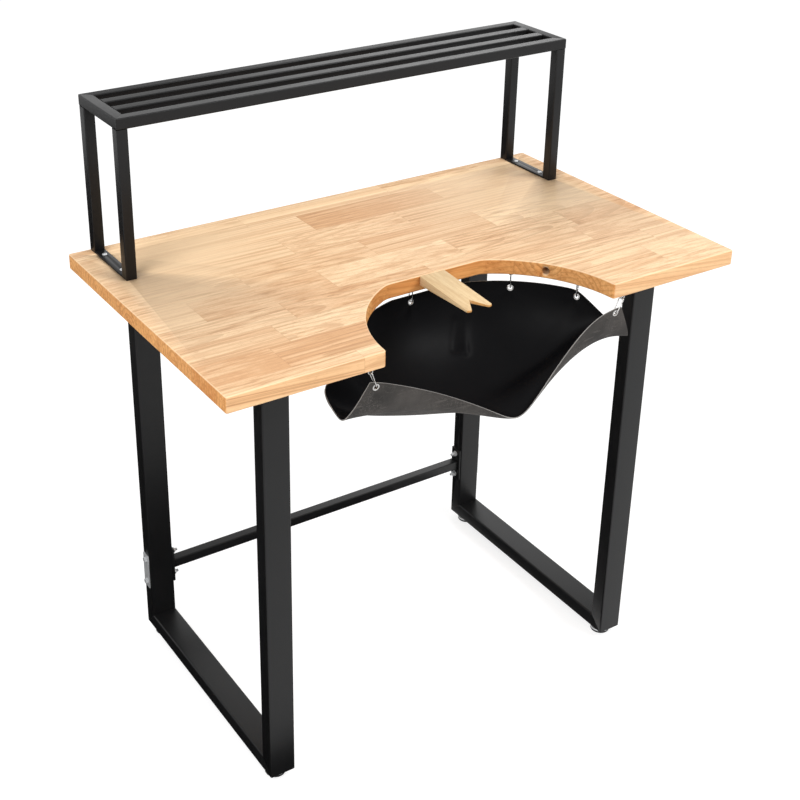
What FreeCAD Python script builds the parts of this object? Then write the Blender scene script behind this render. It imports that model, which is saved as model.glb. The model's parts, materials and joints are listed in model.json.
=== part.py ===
"""Jewelers bench with a curved cut-out, a slatted rack, a bench pin and a leather apron.

A hardwood benchtop stands on two welded steel leg frames that a bolted stretcher ties
together. A slatted rack is screwed on along the rear edge. The bench pin plugs into the
flat wall of the cut-out, and a leather catch apron hangs under it on six wire clips.

Units are millimetres. X runs along the front edge, -Y faces the jeweler and +Z is up.
The origin is on the floor, under the centre of the benchtop.
"""
import FreeCAD, Part
import math
import os
import re

import Sketcher
from FreeCAD import Placement, Rotation, Vector

# ---------------------------------------------------------------- driving dimensions
# Every name has an underscore, so that an expression can tell it from a function.
SIZES = [
    ("top_width", 1016.0, "benchtop from left to right, 40 in"),
    ("top_depth", 600.0, "benchtop from front to rear"),
    ("top_thick", 28.6, "benchtop thickness, 1 1/8 in"),
    ("work_height", 860.0, "floor to working surface"),
    ("top_ease", 2.5, "rounding of the benchtop's long edges"),
    ("top_corner", 3.0, "rounding of the benchtop's outer corners"),
    ("cut_radius", 230.0, "radius of the cut-out"),
    ("cut_setback", 8.0, "centre of the cut-out in front of the front edge"),
    ("cut_flat", 22.0, "flat wall of the cut-out short of the curve's deepest point"),
    ("cut_blend", 40.0, "rounding where the flat wall meets the curve"),
    ("cut_corner", 6.0, "rounding of the cut-out's front corners"),
    ("socket_radius", 7.0, "accessory socket in the cut-out's wall"),
    ("socket_depth", 40.0, "depth of the accessory socket"),
    ("socket_bearing", 36.0, "bearing of the socket about the cut-out's centre, degrees"),
    ("pin_width", 51.0, "bench pin width"),
    ("pin_shift", -5.0, "bench pin's centre from the middle of the flat wall"),
    ("pin_reach", 138.0, "bench pin from the wall to its tips"),
    ("pin_root", 17.5, "bench pin thickness at the wall"),
    ("pin_tip", 4.0, "bench pin thickness at its tips"),
    ("pin_drop", 9.0, "fall of the bench pin's upper face to its tips"),
    ("pin_below", 0.5, "bench pin's upper face under the working surface, at the wall"),
    ("notch_depth", 31.0, "depth of the V notch"),
    ("notch_width", 34.0, "width of the V notch at the tips"),
    ("tenon_width", 36.0, "tenon width"),
    ("tenon_thick", 8.0, "tenon thickness"),
    ("tenon_reach", 32.0, "tenon length"),
    ("tenon_slack", 0.15, "clearance round the tenon, on each side"),
    ("frame_span", 814.0, "leg frames, outside to outside"),
    ("frame_length", 517.0, "leg frame from front to rear"),
    ("frame_inset", 3.0, "leg frame in from the benchtop's rear edge"),
    ("leg_wide", 50.0, "leg tube across the bench"),
    ("leg_deep", 30.0, "leg tube in the plane of its frame"),
    ("leg_wall", 1.5, "leg tube wall"),
    ("leg_round", 3.0, "leg tube outer corner radius"),
    ("foot_gap", 16.0, "floor to the underside of the foot rails"),
    ("foot_inset", 28.0, "foot axis in from the end of the frame"),
    ("foot_radius", 19.0, "glide radius"),
    ("foot_plate", 3.0, "thickness of the glide's steel cup"),
    ("foot_pad", 5.0, "thickness of the glide's plastic pad"),
    ("stud_radius", 4.0, "foot stud radius, M8"),
    ("stud_top", 38.0, "top of the foot stud above the floor"),
    ("stud_play", 0.05, "radial clearance of a stud in its nut"),
    ("weld_nut_size", 13.0, "weld nut across its flats"),
    ("weld_nut_high", 6.5, "weld nut height"),
    ("bar_tube", 20.0, "stretcher tube, square"),
    ("bar_level", 151.0, "stretcher centre above the floor"),
    ("plate_thick", 4.0, "stretcher end plate thickness"),
    ("plate_wide", 28.0, "stretcher end plate width"),
    ("plate_high", 76.0, "stretcher end plate height"),
    ("strap_thick", 2.5, "outer strap thickness"),
    ("strap_wide", 22.0, "outer strap width"),
    ("bolt_pitch", 52.0, "distance between the two bolts of one end"),
    ("bolt_radius", 3.0, "frame bolt radius, M6"),
    ("bolt_head", 4.0, "frame bolt head height"),
    ("bolt_flats", 10.0, "frame bolt head and nut across their flats"),
    ("bolt_past", 6.0, "frame bolt past its nut"),
    ("nut_high", 5.0, "frame nut height"),
    ("washer_radius", 6.0, "washer radius"),
    ("washer_thick", 1.6, "washer thickness"),
    ("hole_slack", 0.2, "radial clearance of a hole round its fastener"),
    ("screw_radius", 2.5, "benchtop screw radius"),
    ("screw_bite", 18.0, "benchtop screw in the wood"),
    ("screw_head", 5.0, "screw head radius"),
    ("head_high", 2.5, "screw head height"),
    ("rack_width", 934.0, "rack from left to right"),
    ("rack_depth", 158.0, "rack from front to rear"),
    ("rack_height", 287.0, "rack top above the working surface"),
    ("rack_inset", 2.0, "rack in from the benchtop's rear edge"),
    ("rack_tube", 20.0, "rack tube, square"),
    ("rack_wall", 1.2, "rack tube wall"),
    ("rack_round", 2.0, "rack tube outer corner radius"),
    ("slat_count", 2.0, "slats between the rack's rails"),
    ("base_thick", 3.0, "rack base plate thickness"),
    ("base_screw", 21.0, "rack screw from the inner face of a post"),
    ("rack_screw", 2.0, "rack screw radius"),
    ("eye_wire", 1.2, "radius of the screw eye's wire"),
    ("eye_ring", 3.8, "centre line radius of the screw eye's ring"),
    ("eye_gap", 0.5, "gap between the ring and the wood"),
    ("eye_shank", 14.0, "screw eye's shank in the wood"),
    ("clip_wire", 1.0, "radius of the clip's wire"),
    ("clip_length", 26.0, "clip's pivot to the eyelet's centre"),
    ("clip_crook", 5.0, "centre line radius of the clip's upper bend"),
    ("clip_belly", 4.4, "centre line radius of the clip's lower bend"),
    ("clip_play", 0.5, "gap between the clip's wire and the screw eye's ring"),
    ("clip_rest", 0.7, "clip's wire above the eyelet's centre"),
    ("clip_gap", 1.5, "gap between the ends of the clip's wire"),
    ("front_swing", 4.0, "front clips lean out of the bench, degrees"),
    ("eyelet_hole", 3.6, "eyelet bore radius"),
    ("eyelet_tube", 4.2, "eyelet barrel radius"),
    ("eyelet_flange", 6.2, "eyelet flange radius"),
    ("eyelet_lip", 0.5, "eyelet flange thickness"),
    ("eyelet_seat", 0.4, "gap between a flange and the leather"),
    ("apron_thick", 1.8, "leather thickness"),
    ("apron_front", 6.5, "leather's front edge behind the benchtop's front edge"),
    ("apron_margin", 13.0, "leather above the centres of the side and rear eyelets"),
    ("apron_out", 18.0, "leather's rim outside the cut-out's curve"),
    ("apron_widen", 1.05, "how far the rim spreads sideways from a round arc"),
    ("apron_rear", 32.0, "leather's rear edge behind the cut-out's flat wall"),
    ("apron_corner", 26.0, "leather's front corners outside the cut-out"),
    ("corner_drop", 0.5, "leather's front corners under its rim"),
    ("corner_margin", 8.0, "front eyelets' centres in from the front edge"),
    ("corner_inset", 16.0, "front eyelets' centres in from the side edges"),
    ("apron_sag", 161.0, "fall of the leather to its lowest point"),
    ("apron_shift", 45.0, "lowest point of the front edge right of the middle"),
    ("apron_ear", 70.0, "fall of the side edges between their clips"),
    ("apron_flare", 44.0, "spread of the right side edge past its clips"),
    ("apron_bulge", 55.0, "spread of the left side edge, whose fold runs back to its clip"),
]

doc = FreeCAD.newDocument("JewelersBench")
sheet = doc.addObject("Spreadsheet::Sheet", "dims")
for row, (alias, number, note) in enumerate(SIZES, 1):
    sheet.set(f"A{row}", note)
    sheet.set(f"B{row}", str(number))
    sheet.setAlias(f"B{row}", alias)
doc.recompute()

NODES = {}

# Places that several pieces share, as expressions in the sheet's names.
UNDER = "(work_height - top_thick)"
FRONT = "(0 - top_depth / 2)"
WALL_Y = "(cut_radius - cut_setback - cut_flat - top_depth / 2)"
FRAME_REAR = "(top_depth / 2 - frame_inset)"
FRAME_FRONT = f"({FRAME_REAR} - frame_length)"
FRAME_X = "((frame_span - leg_wide) / 2)"
LEG_Y = f"({FRAME_REAR} - leg_deep / 2)"
RACK_REAR = "(top_depth / 2 - rack_inset)"
RACK_FRONT = f"({RACK_REAR} - rack_depth)"
RACK_X = "((rack_width - rack_tube) / 2)"
HALF_CHORD = "sqrt(cut_radius ^ 2 - cut_setback ^ 2)"
HALF_FLAT = "sqrt(cut_radius ^ 2 - (cut_radius - cut_flat) ^ 2)"
SIDES = (("left", -1), ("right", 1))


def size(alias):
    """The number in one named cell."""
    return float(sheet.get(alias))


def work_out(text):
    """The number that an expression in the sheet's names gives."""
    return float(sheet.evalExpression(text))


def bind(thing, prop, text):
    """Tie a property to an expression in the sheet's names."""
    thing.setExpression(prop, re.sub(r"[a-z]+(_[a-z]+)+", r"dims.\g<0>", text))


def place(thing, x="0", y="0", z="0"):
    """Tie an object's position to expressions."""
    for axis, text in zip("xyz", (x, y, z)):
        bind(thing, f"Placement.Base.{axis}", text)


def node(name, thing):
    """Name a finished sub-part and keep it for the export."""
    thing.Label = name
    NODES[name] = thing
    return thing


# ---------------------------------------------------------------- sketches and features
def new_body(name):
    return doc.addObject("PartDesign::Body", name)


def new_sketch(body, plane, shift="0"):
    """A sketch on one of the body's origin planes, moved along its normal."""
    sketch = body.newObject("Sketcher::SketchObject", "Sketch")
    support = next(f for f in body.Origin.OriginFeatures if f.Role == plane)
    sketch.AttachmentSupport = [(support, "")]
    sketch.MapMode = "FlatFace"
    bind(sketch, "AttachmentOffset.Base.z", shift)
    return sketch


def pin_down(sketch, part, point, x, y):
    """Tie a point of a sketch to two expressions."""
    for kind, axis_line, text in (("DistanceX", -2, x), ("DistanceY", -1, y)):
        number = work_out(text)
        if abs(number) < 1e-9:
            sketch.addConstraint(Sketcher.Constraint("PointOnObject", part, point, axis_line))
            continue
        index = sketch.addConstraint(Sketcher.Constraint(kind, -1, 1, part, point, number))
        bind(sketch, f"Constraints[{index}]", text)


def outline(sketch, corners, arcs=None, closed=True):
    """Draw an outline through corners, each a pair of expressions.

    arcs gives an edge's number a radius, its centre and whether it turns anticlockwise.
    """
    arcs = arcs or {}
    points = [Vector(work_out(x), work_out(y), 0) for x, y in corners]
    count = len(corners) if closed else len(corners) - 1
    ends = []
    for number in range(count):
        start, finish = points[number], points[(number + 1) % len(points)]
        if number in arcs:
            radius, centre_x, centre_y, anticlockwise = arcs[number]
            centre = Vector(work_out(centre_x), work_out(centre_y), 0)
            first, last = (start, finish) if anticlockwise else (finish, start)
            angles = [math.atan2(p.y - centre.y, p.x - centre.x) for p in (first, last)]
            if angles[1] < angles[0]:
                angles[1] += 2 * math.pi
            circle = Part.Circle(centre, Vector(0, 0, 1), work_out(radius))
            edge = sketch.addGeometry(Part.ArcOfCircle(circle, *angles))
            index = sketch.addConstraint(Sketcher.Constraint("Radius", edge, work_out(radius)))
            bind(sketch, f"Constraints[{index}]", radius)
            ends.append((edge, 1, 2) if anticlockwise else (edge, 2, 1))
        else:
            edge = sketch.addGeometry(Part.LineSegment(start, finish))
            ends.append((edge, 1, 2))
    for number, (edge, first, last) in enumerate(ends):
        pin_down(sketch, edge, first, *corners[number])
        following = ends[(number + 1) % count]
        if closed or number + 1 < count:
            sketch.addConstraint(Sketcher.Constraint("Coincident", edge, last, *following[:2]))
        else:
            pin_down(sketch, edge, last, *corners[number + 1])
    return sketch


def rectangle(sketch, x0, y0, x1, y1):
    return outline(sketch, [(x0, y0), (x1, y0), (x1, y1), (x0, y1)])


def circle(sketch, x, y, radius):
    """Draw a circle tied to expressions."""
    centre = Vector(work_out(x), work_out(y), 0)
    ring = sketch.addGeometry(Part.Circle(centre, Vector(0, 0, 1), work_out(radius)))
    index = sketch.addConstraint(Sketcher.Constraint("Radius", ring, work_out(radius)))
    bind(sketch, f"Constraints[{index}]", radius)
    pin_down(sketch, ring, 3, x, y)
    return sketch


def pad(body, sketch, length, both_ways=False):
    """Add a sketch's outline to the body."""
    feature = body.newObject("PartDesign::Pad", "Pad")
    feature.Profile = sketch
    feature.SideType = "Symmetric" if both_ways else "One side"
    bind(feature, "Length", length)
    doc.recompute()
    return feature


def pocket(body, sketch, length=None, up=False):
    """Cut a sketch's outline out of the body, right through if it has no length."""
    before = body.Shape.Volume
    feature = body.newObject("PartDesign::Pocket", "Pocket")
    feature.Profile = sketch
    if length is None:
        feature.Type = "ThroughAll"
        feature.SideType = "Symmetric"
    else:
        feature.Reversed = up
        bind(feature, "Length", length)
    doc.recompute()
    if body.Shape.Volume > before - 0.01:
        raise RuntimeError(f"{body.Label}: a pocket cuts nothing")
    return feature


def straight_edges(shape, direction, keep=lambda edge: True):
    """Names of the straight edges along a direction that keep() accepts."""
    names = []
    for number, edge in enumerate(shape.Edges, 1):
        if not isinstance(edge.Curve, Part.Line) or not keep(edge):
            continue
        if abs(edge.tangentAt(edge.FirstParameter).dot(direction)) > 0.999:
            names.append(f"Edge{number}")
    return names


def soften(body, names, radius):
    """Round named edges of the body's last feature."""
    rounded = body.Tip
    feature = body.newObject("PartDesign::Fillet", "Fillet")
    feature.Base = (rounded, names)
    bind(feature, "Radius", radius)
    doc.recompute()
    return feature


# ---------------------------------------------------------------- solids from primitives
def box(x, y, z, at):
    """A box from its three sizes, with its low corner at a place."""
    solid = doc.addObject("Part::Box", "Box")
    for prop, text in (("Length", x), ("Width", y), ("Height", z)):
        bind(solid, prop, text)
    place(solid, *at)
    return solid


def cylinder(radius, height, at, turn=None):
    """A cylinder that starts at a place and runs along +Z, or along a turned +Z."""
    solid = doc.addObject("Part::Cylinder", "Cylinder")
    bind(solid, "Radius", radius)
    bind(solid, "Height", height)
    if turn:
        solid.Placement.Rotation = turn
    place(solid, *at)
    return solid


def hexagon(flats, height, at, turn=None):
    """A hexagonal prism across its flats."""
    solid = doc.addObject("Part::Prism", "Prism")
    solid.Polygon = 6
    bind(solid, "Circumradius", f"({flats}) / 2 / cos(30)")
    bind(solid, "Height", height)
    if turn:
        solid.Placement.Rotation = turn
    place(solid, *at)
    return solid


def cut(base, tool):
    result = doc.addObject("Part::Cut", "Cut")
    result.Base = base
    result.Tool = tool
    return result


def fuse(*solids):
    result = doc.addObject("Part::MultiFuse", "Fuse")
    result.Shapes = list(solids)
    return result


def group(*solids):
    result = doc.addObject("Part::Compound", "Group")
    result.Links = list(solids)
    return result


ALONG_X = Rotation(Vector(0, 0, 1), Vector(1, 0, 0))


# ---------------------------------------------------------------- benchtop
def rail_screws():
    """Screws of one top rail: their places along Y."""
    run = f"(frame_length - 2 * leg_deep)"
    return [f"({FRAME_FRONT} + leg_deep + {run} * {share})" for share in ("0.08", "0.36", "0.64", "0.92")]


def rack_screws():
    """Screws of one rack base plate: their places along Y."""
    inside = "(rack_tube + base_screw)"
    return [f"({RACK_FRONT} + {inside})", f"({RACK_REAR} - {inside})"]


def benchtop():
    """Hardwood top with its cut-out, mortise, socket and pilot holes."""
    body = new_body("benchtop")
    half_x, half_y = "(top_width / 2)", "(top_depth / 2)"
    centre = ("0", f"({FRONT} - cut_setback)")
    corners = [
        (f"(0 - {half_x})", FRONT),
        (f"(0 - {HALF_CHORD})", FRONT),
        (f"(0 - {HALF_FLAT})", WALL_Y),
        (HALF_FLAT, WALL_Y),
        (HALF_CHORD, FRONT),
        (half_x, FRONT),
        (half_x, half_y),
        (f"(0 - {half_x})", half_y),
    ]
    curves = {1: ("cut_radius", *centre, False), 3: ("cut_radius", *centre, False)}
    pad(body, outline(new_sketch(body, "XY_Plane"), corners, curves), "top_thick")

    chord, flat, wall = work_out(HALF_CHORD), work_out(HALF_FLAT), work_out(WALL_Y)
    front = work_out(FRONT)
    up = Vector(0, 0, 1)

    def upright_at(x, y):
        spot = lambda e: math.hypot(abs(e.Vertexes[0].X) - x, e.Vertexes[0].Y - y) < 0.01
        return straight_edges(body.Shape, up, spot)

    soften(body, upright_at(flat, wall), "cut_blend")
    soften(body, upright_at(chord, front), "cut_corner")
    outer = upright_at(size("top_width") / 2, front) + upright_at(size("top_width") / 2, -front)
    soften(body, outer, "top_corner")
    level = [
        f"Edge{number}"
        for number, edge in enumerate(body.Shape.Edges, 1)
        if edge.BoundBox.ZLength < 0.01
    ]
    soften(body, level, "top_ease")

    # Mortise of the bench pin, open in the flat wall.
    floor = f"(top_thick - pin_below - (pin_root + tenon_thick) / 2 - tenon_slack)"
    mortise = new_sketch(body, "XY_Plane", floor)
    half = "(tenon_width / 2 + tenon_slack)"
    rectangle(mortise, f"(pin_shift - {half})", f"({WALL_Y} - 1)",
              f"(pin_shift + {half})", f"({WALL_Y} + tenon_reach + 1)")
    pocket(body, mortise, "(tenon_thick + 2 * tenon_slack)", up=True)

    # Blind accessory socket, square to the curved wall.
    bearing = math.radians(size("socket_bearing"))
    toward = Vector(math.cos(bearing), math.sin(bearing), 0)
    start = size("cut_radius") - 5
    socket = body.newObject("PartDesign::SubtractiveCylinder", "Socket")
    bind(socket, "Radius", "socket_radius")
    bind(socket, "Height", "(socket_depth + 5)")
    mouth = Vector(0, work_out(centre[1]), size("top_thick") / 2) + toward * start
    socket.Placement = Placement(mouth, Rotation(up, toward))
    doc.recompute()

    # Pilot holes from below for the screw eyes and the leg frames, and from above.
    eyes = new_sketch(body, "XY_Plane")
    for hook in HOOKS.values():
        circle(eyes, str(hook["ring"].x), str(hook["ring"].y), "(eye_wire + hole_slack)")
    pocket(body, eyes, "(eye_shank + 1)", up=True)
    rails = new_sketch(body, "XY_Plane")
    plates = new_sketch(body, "XY_Plane", "top_thick")
    for _, side in SIDES:
        for y in rail_screws():
            circle(rails, f"({side} * {FRAME_X})", y, "(screw_radius + hole_slack)")
        for y in rack_screws():
            circle(plates, f"({side} * {RACK_X})", y, "(rack_screw + hole_slack)")
    pocket(body, rails, "(screw_bite + 1)", up=True)
    pocket(body, plates, "(screw_bite + 1)")
    place(body, z=UNDER)
    node("benchtop", body)


# ---------------------------------------------------------------- steel tubes
def tube(name, plane, corners, width, run, bore_plane, bore, radius):
    """A hollow tube: its side outline padded across, rounded, then bored along."""
    body = new_body(name)
    pad(body, outline(new_sketch(body, plane), corners), width, both_ways=True)
    soften(body, straight_edges(body.Shape, run), radius)
    pocket(body, rectangle(new_sketch(body, bore_plane), *bore))
    return node(name, body)


def leg_frames():
    """Two closed frames of rectangular tube, mitred and welded at the corners."""
    front, rear = FRAME_FRONT, FRAME_REAR
    low, high = "foot_gap", UNDER
    front_in, rear_in = f"({front} + leg_deep)", f"({rear} - leg_deep)"
    low_in, high_in = f"({low} + leg_deep)", f"({high} - leg_deep)"
    half = "(leg_wide / 2 - leg_wall)"
    upright, along = Vector(0, 0, 1), Vector(0, 1, 0)
    pieces = {
        "front_leg": (
            [(front, low), (front_in, low_in), (front_in, high_in), (front, high)],
            upright, "XY_Plane", (f"({front} + leg_wall)", f"({front_in} - leg_wall)")),
        "rear_leg": (
            [(rear, low), (rear, high), (rear_in, high_in), (rear_in, low_in)],
            upright, "XY_Plane", (f"({rear_in} + leg_wall)", f"({rear} - leg_wall)")),
        "foot_rail": (
            [(front, low), (rear, low), (rear_in, low_in), (front_in, low_in)],
            along, "XZ_Plane", (f"({low} + leg_wall)", f"({low_in} - leg_wall)")),
        "top_rail": (
            [(front, high), (front_in, high_in), (rear_in, high_in), (rear, high)],
            along, "XZ_Plane", (f"({high_in} + leg_wall)", f"({high} - leg_wall)")),
    }
    for side_name, side in SIDES:
        for piece, (corners, run, bore_plane, (low_wall, high_wall)) in pieces.items():
            bore = (f"(0 - {half})", low_wall, half, high_wall)
            name = f"{side_name}_{piece}"
            body = tube(name, "YZ_Plane", corners, "leg_wide", run, bore_plane, bore, "leg_round")
            if piece == "rear_leg":
                bolts = new_sketch(body, "YZ_Plane")
                for way in (-1, 1):
                    z = f"(bar_level + {way} * bolt_pitch / 2)"
                    circle(bolts, LEG_Y, z, "(bolt_radius + hole_slack)")
                pocket(body, bolts)
            if piece == "foot_rail":
                studs = new_sketch(body, "XY_Plane", "foot_gap")
                for y in foot_places():
                    circle(studs, "0", y, "(stud_radius + 1)")
                pocket(body, studs, "(leg_wall + 1)", up=True)
            if piece == "top_rail":
                screws = new_sketch(body, "XY_Plane")
                for y in rail_screws():
                    circle(screws, "0", y, "(screw_radius + hole_slack)")
                pocket(body, screws)
            place(body, x=f"({side} * {FRAME_X})")


def foot_places():
    return [f"({FRAME_FRONT} + foot_inset)", f"({FRAME_REAR} - foot_inset)"]


def feet():
    """Four levelling feet: a stud with a steel cup on a plastic pad, in a weld nut."""
    nuts = []
    cup_low = "foot_pad"
    for side_name, side in SIDES:
        x = f"({side} * {FRAME_X})"
        for end, y in zip(("front", "rear"), foot_places()):
            stud_high = f"(stud_top - {cup_low} - foot_plate)"
            stud = fuse(
                cylinder("foot_radius", "foot_plate", (x, y, cup_low)),
                cylinder("stud_radius", stud_high, (x, y, f"({cup_low} + foot_plate)")))
            node(f"{side_name}_{end}_foot_stud", stud)
            body = new_body("foot_pad")
            profile = [
                ("0", "0"), ("(foot_radius - 2)", "0"), ("foot_radius", "2"),
                ("foot_radius", "foot_pad"), ("0", "foot_pad")]
            spin = body.newObject("PartDesign::Revolution", "Revolution")
            spin.Profile = outline(new_sketch(body, "XZ_Plane"), profile)
            spin.ReferenceAxis = (spin.Profile[0], ["V_Axis"])
            doc.recompute()
            place(body, x, y)
            node(f"{side_name}_{end}_foot_pad", body)
            base = "(foot_gap + leg_wall)"
            nuts.append(cut(
                hexagon("weld_nut_size", "weld_nut_high", (x, y, base)),
                cylinder("(stud_radius + stud_play)", "(weld_nut_high + 2)", (x, y, f"({base} - 1)"))))
    node("foot_weld_nuts", group(*nuts))


# ---------------------------------------------------------------- stretcher
def stretcher():
    """Square tube between the rear legs, with welded end plates and through bolts."""
    inner = "(frame_span / 2 - leg_wide)"
    face = f"({inner} - plate_thick)"
    half = "(bar_tube / 2)"
    bore = "(bar_tube / 2 - leg_wall)"
    corners = [
        (f"(0 - {face})", f"(0 - {half})"), (face, f"(0 - {half})"),
        (face, half), (f"(0 - {face})", half)]
    bar = tube("stretcher_bar", "XZ_Plane", corners, "bar_tube", Vector(1, 0, 0), "YZ_Plane",
               (f"(0 - {bore})", f"(0 - {bore})", bore, bore), "rack_round")
    place(bar, y=LEG_Y, z="bar_level")

    plates, straps, bolts, washers, nuts = [], [], [], [], []
    hole = "(bolt_radius + hole_slack)"
    reach = "(leg_wide + plate_thick + strap_thick)"
    for _, side in SIDES:
        low = f"(bar_level - plate_high / 2)"
        x = f"({side} * ({inner} - plate_thick / 2) - plate_thick / 2)"
        plate = box("plate_thick", "plate_wide", "plate_high",
                    (x, f"({LEG_Y} - plate_wide / 2)", low))
        x = f"({side} * (frame_span / 2 + strap_thick / 2) - strap_thick / 2)"
        strap = box("strap_thick", "strap_wide", "plate_high",
                    (x, f"({LEG_Y} - strap_wide / 2)", low))
        drills = []
        for way in (-1, 1):
            z = f"(bar_level + {way} * bolt_pitch / 2)"

            def ring(outer, thick, start, prism=False):
                """A washer or nut that starts at a distance from the bench's middle."""
                at = (f"({side} * ({start} + ({thick}) / 2) - ({thick}) / 2)", LEG_Y, z)
                body = (hexagon if prism else cylinder)(outer, thick, at, ALONG_X)
                through = (f"({side} * ({start} + ({thick}) / 2) - ({thick}) / 2 - 1)", LEG_Y, z)
                return cut(body, cylinder(hole, f"({thick} + 2)", through, ALONG_X))

            washer_x = f"({face} - washer_thick)"
            nut_x = f"({washer_x} - nut_high)"
            tip_x = f"({nut_x} - bolt_past)"
            head_x = "(frame_span / 2 + strap_thick)"
            washers.append(ring("washer_radius", "washer_thick", washer_x))
            nuts.append(ring("bolt_flats", "nut_high", nut_x, prism=True))
            length = f"({head_x} - {tip_x})"
            shank_at = (f"({side} * ({tip_x} + {length} / 2) - {length} / 2)", LEG_Y, z)
            head_at = (f"({side} * ({head_x} + bolt_head / 2) - bolt_head / 2)", LEG_Y, z)
            bolts.append(fuse(
                cylinder("bolt_radius", length, shank_at, ALONG_X),
                hexagon("bolt_flats", "bolt_head", head_at, ALONG_X)))
            drill_at = (f"({side} * frame_span / 2 - {reach})", LEG_Y, z)
            drills.append(cylinder(hole, f"(2 * {reach})", drill_at, ALONG_X))
        plates.append(cut(plate, fuse(*drills)))
        straps.append(cut(strap, group(*drills)))
    node("stretcher_end_plates", group(*plates))
    node("left_leg_strap", straps[0])
    node("right_leg_strap", straps[1])
    node("frame_bolts", group(*bolts))
    node("frame_washers", group(*washers))
    node("frame_nuts", group(*nuts))


# ---------------------------------------------------------------- rack
def rack():
    """Slatted rack: a mitred top frame with slats, on four posts with base plates."""
    half = "(rack_width / 2)"
    front, rear = RACK_FRONT, RACK_REAR
    wall = "rack_wall"
    high = "(work_height + rack_height - rack_tube)"
    inner = "(rack_tube - rack_wall)"
    rails = {"front": (front, 1), "rear": (rear, -1)}
    for name, (edge, way) in rails.items():
        deep = f"({edge} + {way} * rack_tube)"
        corners = [
            (f"(0 - {half})", edge), (half, edge),
            (f"({half} - rack_tube)", deep), (f"(rack_tube - {half})", deep)]
        if way < 0:
            corners.reverse()
        bore = (f"({edge} + {way} * rack_wall)", wall, f"({deep} - {way} * rack_wall)", inner)
        rail = rack_bar(f"rack_{name}_rail", corners, Vector(1, 0, 0), "YZ_Plane", bore)
        place(rail, z=high)
    for name, side in SIDES:
        outer = f"({side} * {half})"
        inside = f"({outer} - {side} * rack_tube)"
        corners = [
            (outer, front), (outer, rear),
            (inside, f"({rear} - rack_tube)"), (inside, f"({front} + rack_tube)")]
        if side < 0:
            corners.reverse()
        bore = (f"({outer} - {side} * rack_wall)", wall, f"({inside} + {side} * rack_wall)", inner)
        bar = rack_bar(f"rack_{name}_end_bar", corners, Vector(0, 1, 0), "XZ_Plane", bore)
        place(bar, z=high)

    count = int(size("slat_count"))
    gap = f"((rack_depth - (slat_count + 2) * rack_tube) / (slat_count + 1))"
    reach = f"({half} - rack_tube)"
    for number in range(count):
        start = f"({front} + rack_tube + {gap} + {number} * (rack_tube + {gap}))"
        end = f"({start} + rack_tube)"
        corners = [(f"(0 - {reach})", start), (reach, start), (reach, end), (f"(0 - {reach})", end)]
        bore = (f"({start} + rack_wall)", wall, f"({end} - rack_wall)", inner)
        slat = rack_bar(f"rack_slat_{number + 1}", corners, Vector(1, 0, 0), "YZ_Plane", bore)
        place(slat, z=high)

    screws = []
    tall = "(rack_height - rack_tube)"
    edge = "(rack_tube / 2)"
    inside = "(rack_tube / 2 - rack_wall)"
    for side_name, side in SIDES:
        x = f"({side} * {RACK_X})"
        for end, y in (("front", f"({front} + {edge})"), ("rear", f"({rear} - {edge})")):
            corners = [(f"(0 - {edge})", "0"), (edge, "0"), (edge, tall), (f"(0 - {edge})", tall)]
            post = tube(f"rack_{side_name}_{end}_post", "XZ_Plane", corners, "rack_tube",
                        Vector(0, 0, 1), "XY_Plane",
                        (f"(0 - {inside})", f"(0 - {inside})", inside, inside), "rack_round")
            place(post, x, y, "work_height")
        base = new_body("base_plate")
        sketch = new_sketch(base, "XY_Plane")
        rectangle(sketch, f"(0 - {edge})", f"({front} + rack_tube)", edge, f"({rear} - rack_tube)")
        for y in rack_screws():
            circle(sketch, "0", y, "(rack_screw + hole_slack)")
            tip = "(work_height - screw_bite)"
            over = "(work_height + base_thick)"
            screws.append(fuse(
                cylinder("rack_screw", "(screw_bite + base_thick)", (x, y, tip)),
                cylinder("(screw_head - 0.5)", "head_high", (x, y, over))))
        pad(base, sketch, "base_thick")
        place(base, x=x, z="work_height")
        node(f"rack_{side_name}_base_plate", base)
    node("rack_screws", group(*screws))


def rack_bar(name, corners, run, bore_plane, bore):
    """A square tube of the rack's top, from its outline in plan."""
    body = new_body(name)
    pad(body, outline(new_sketch(body, "XY_Plane"), corners), "rack_tube")
    soften(body, straight_edges(body.Shape, run), "rack_round")
    pocket(body, rectangle(new_sketch(body, bore_plane), *bore))
    return node(name, body)


def top_screws():
    """Screws that go up through the top rails into the benchtop."""
    screws = []
    for _, side in SIDES:
        x = f"({side} * {FRAME_X})"
        for y in rail_screws():
            low = f"({UNDER} - leg_deep)"
            screws.append(fuse(
                cylinder("screw_radius", "(leg_deep + screw_bite)", (x, y, low)),
                cylinder("screw_head", "head_high", (x, y, f"({low} - head_high)"))))
    node("top_screws", group(*screws))


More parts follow.
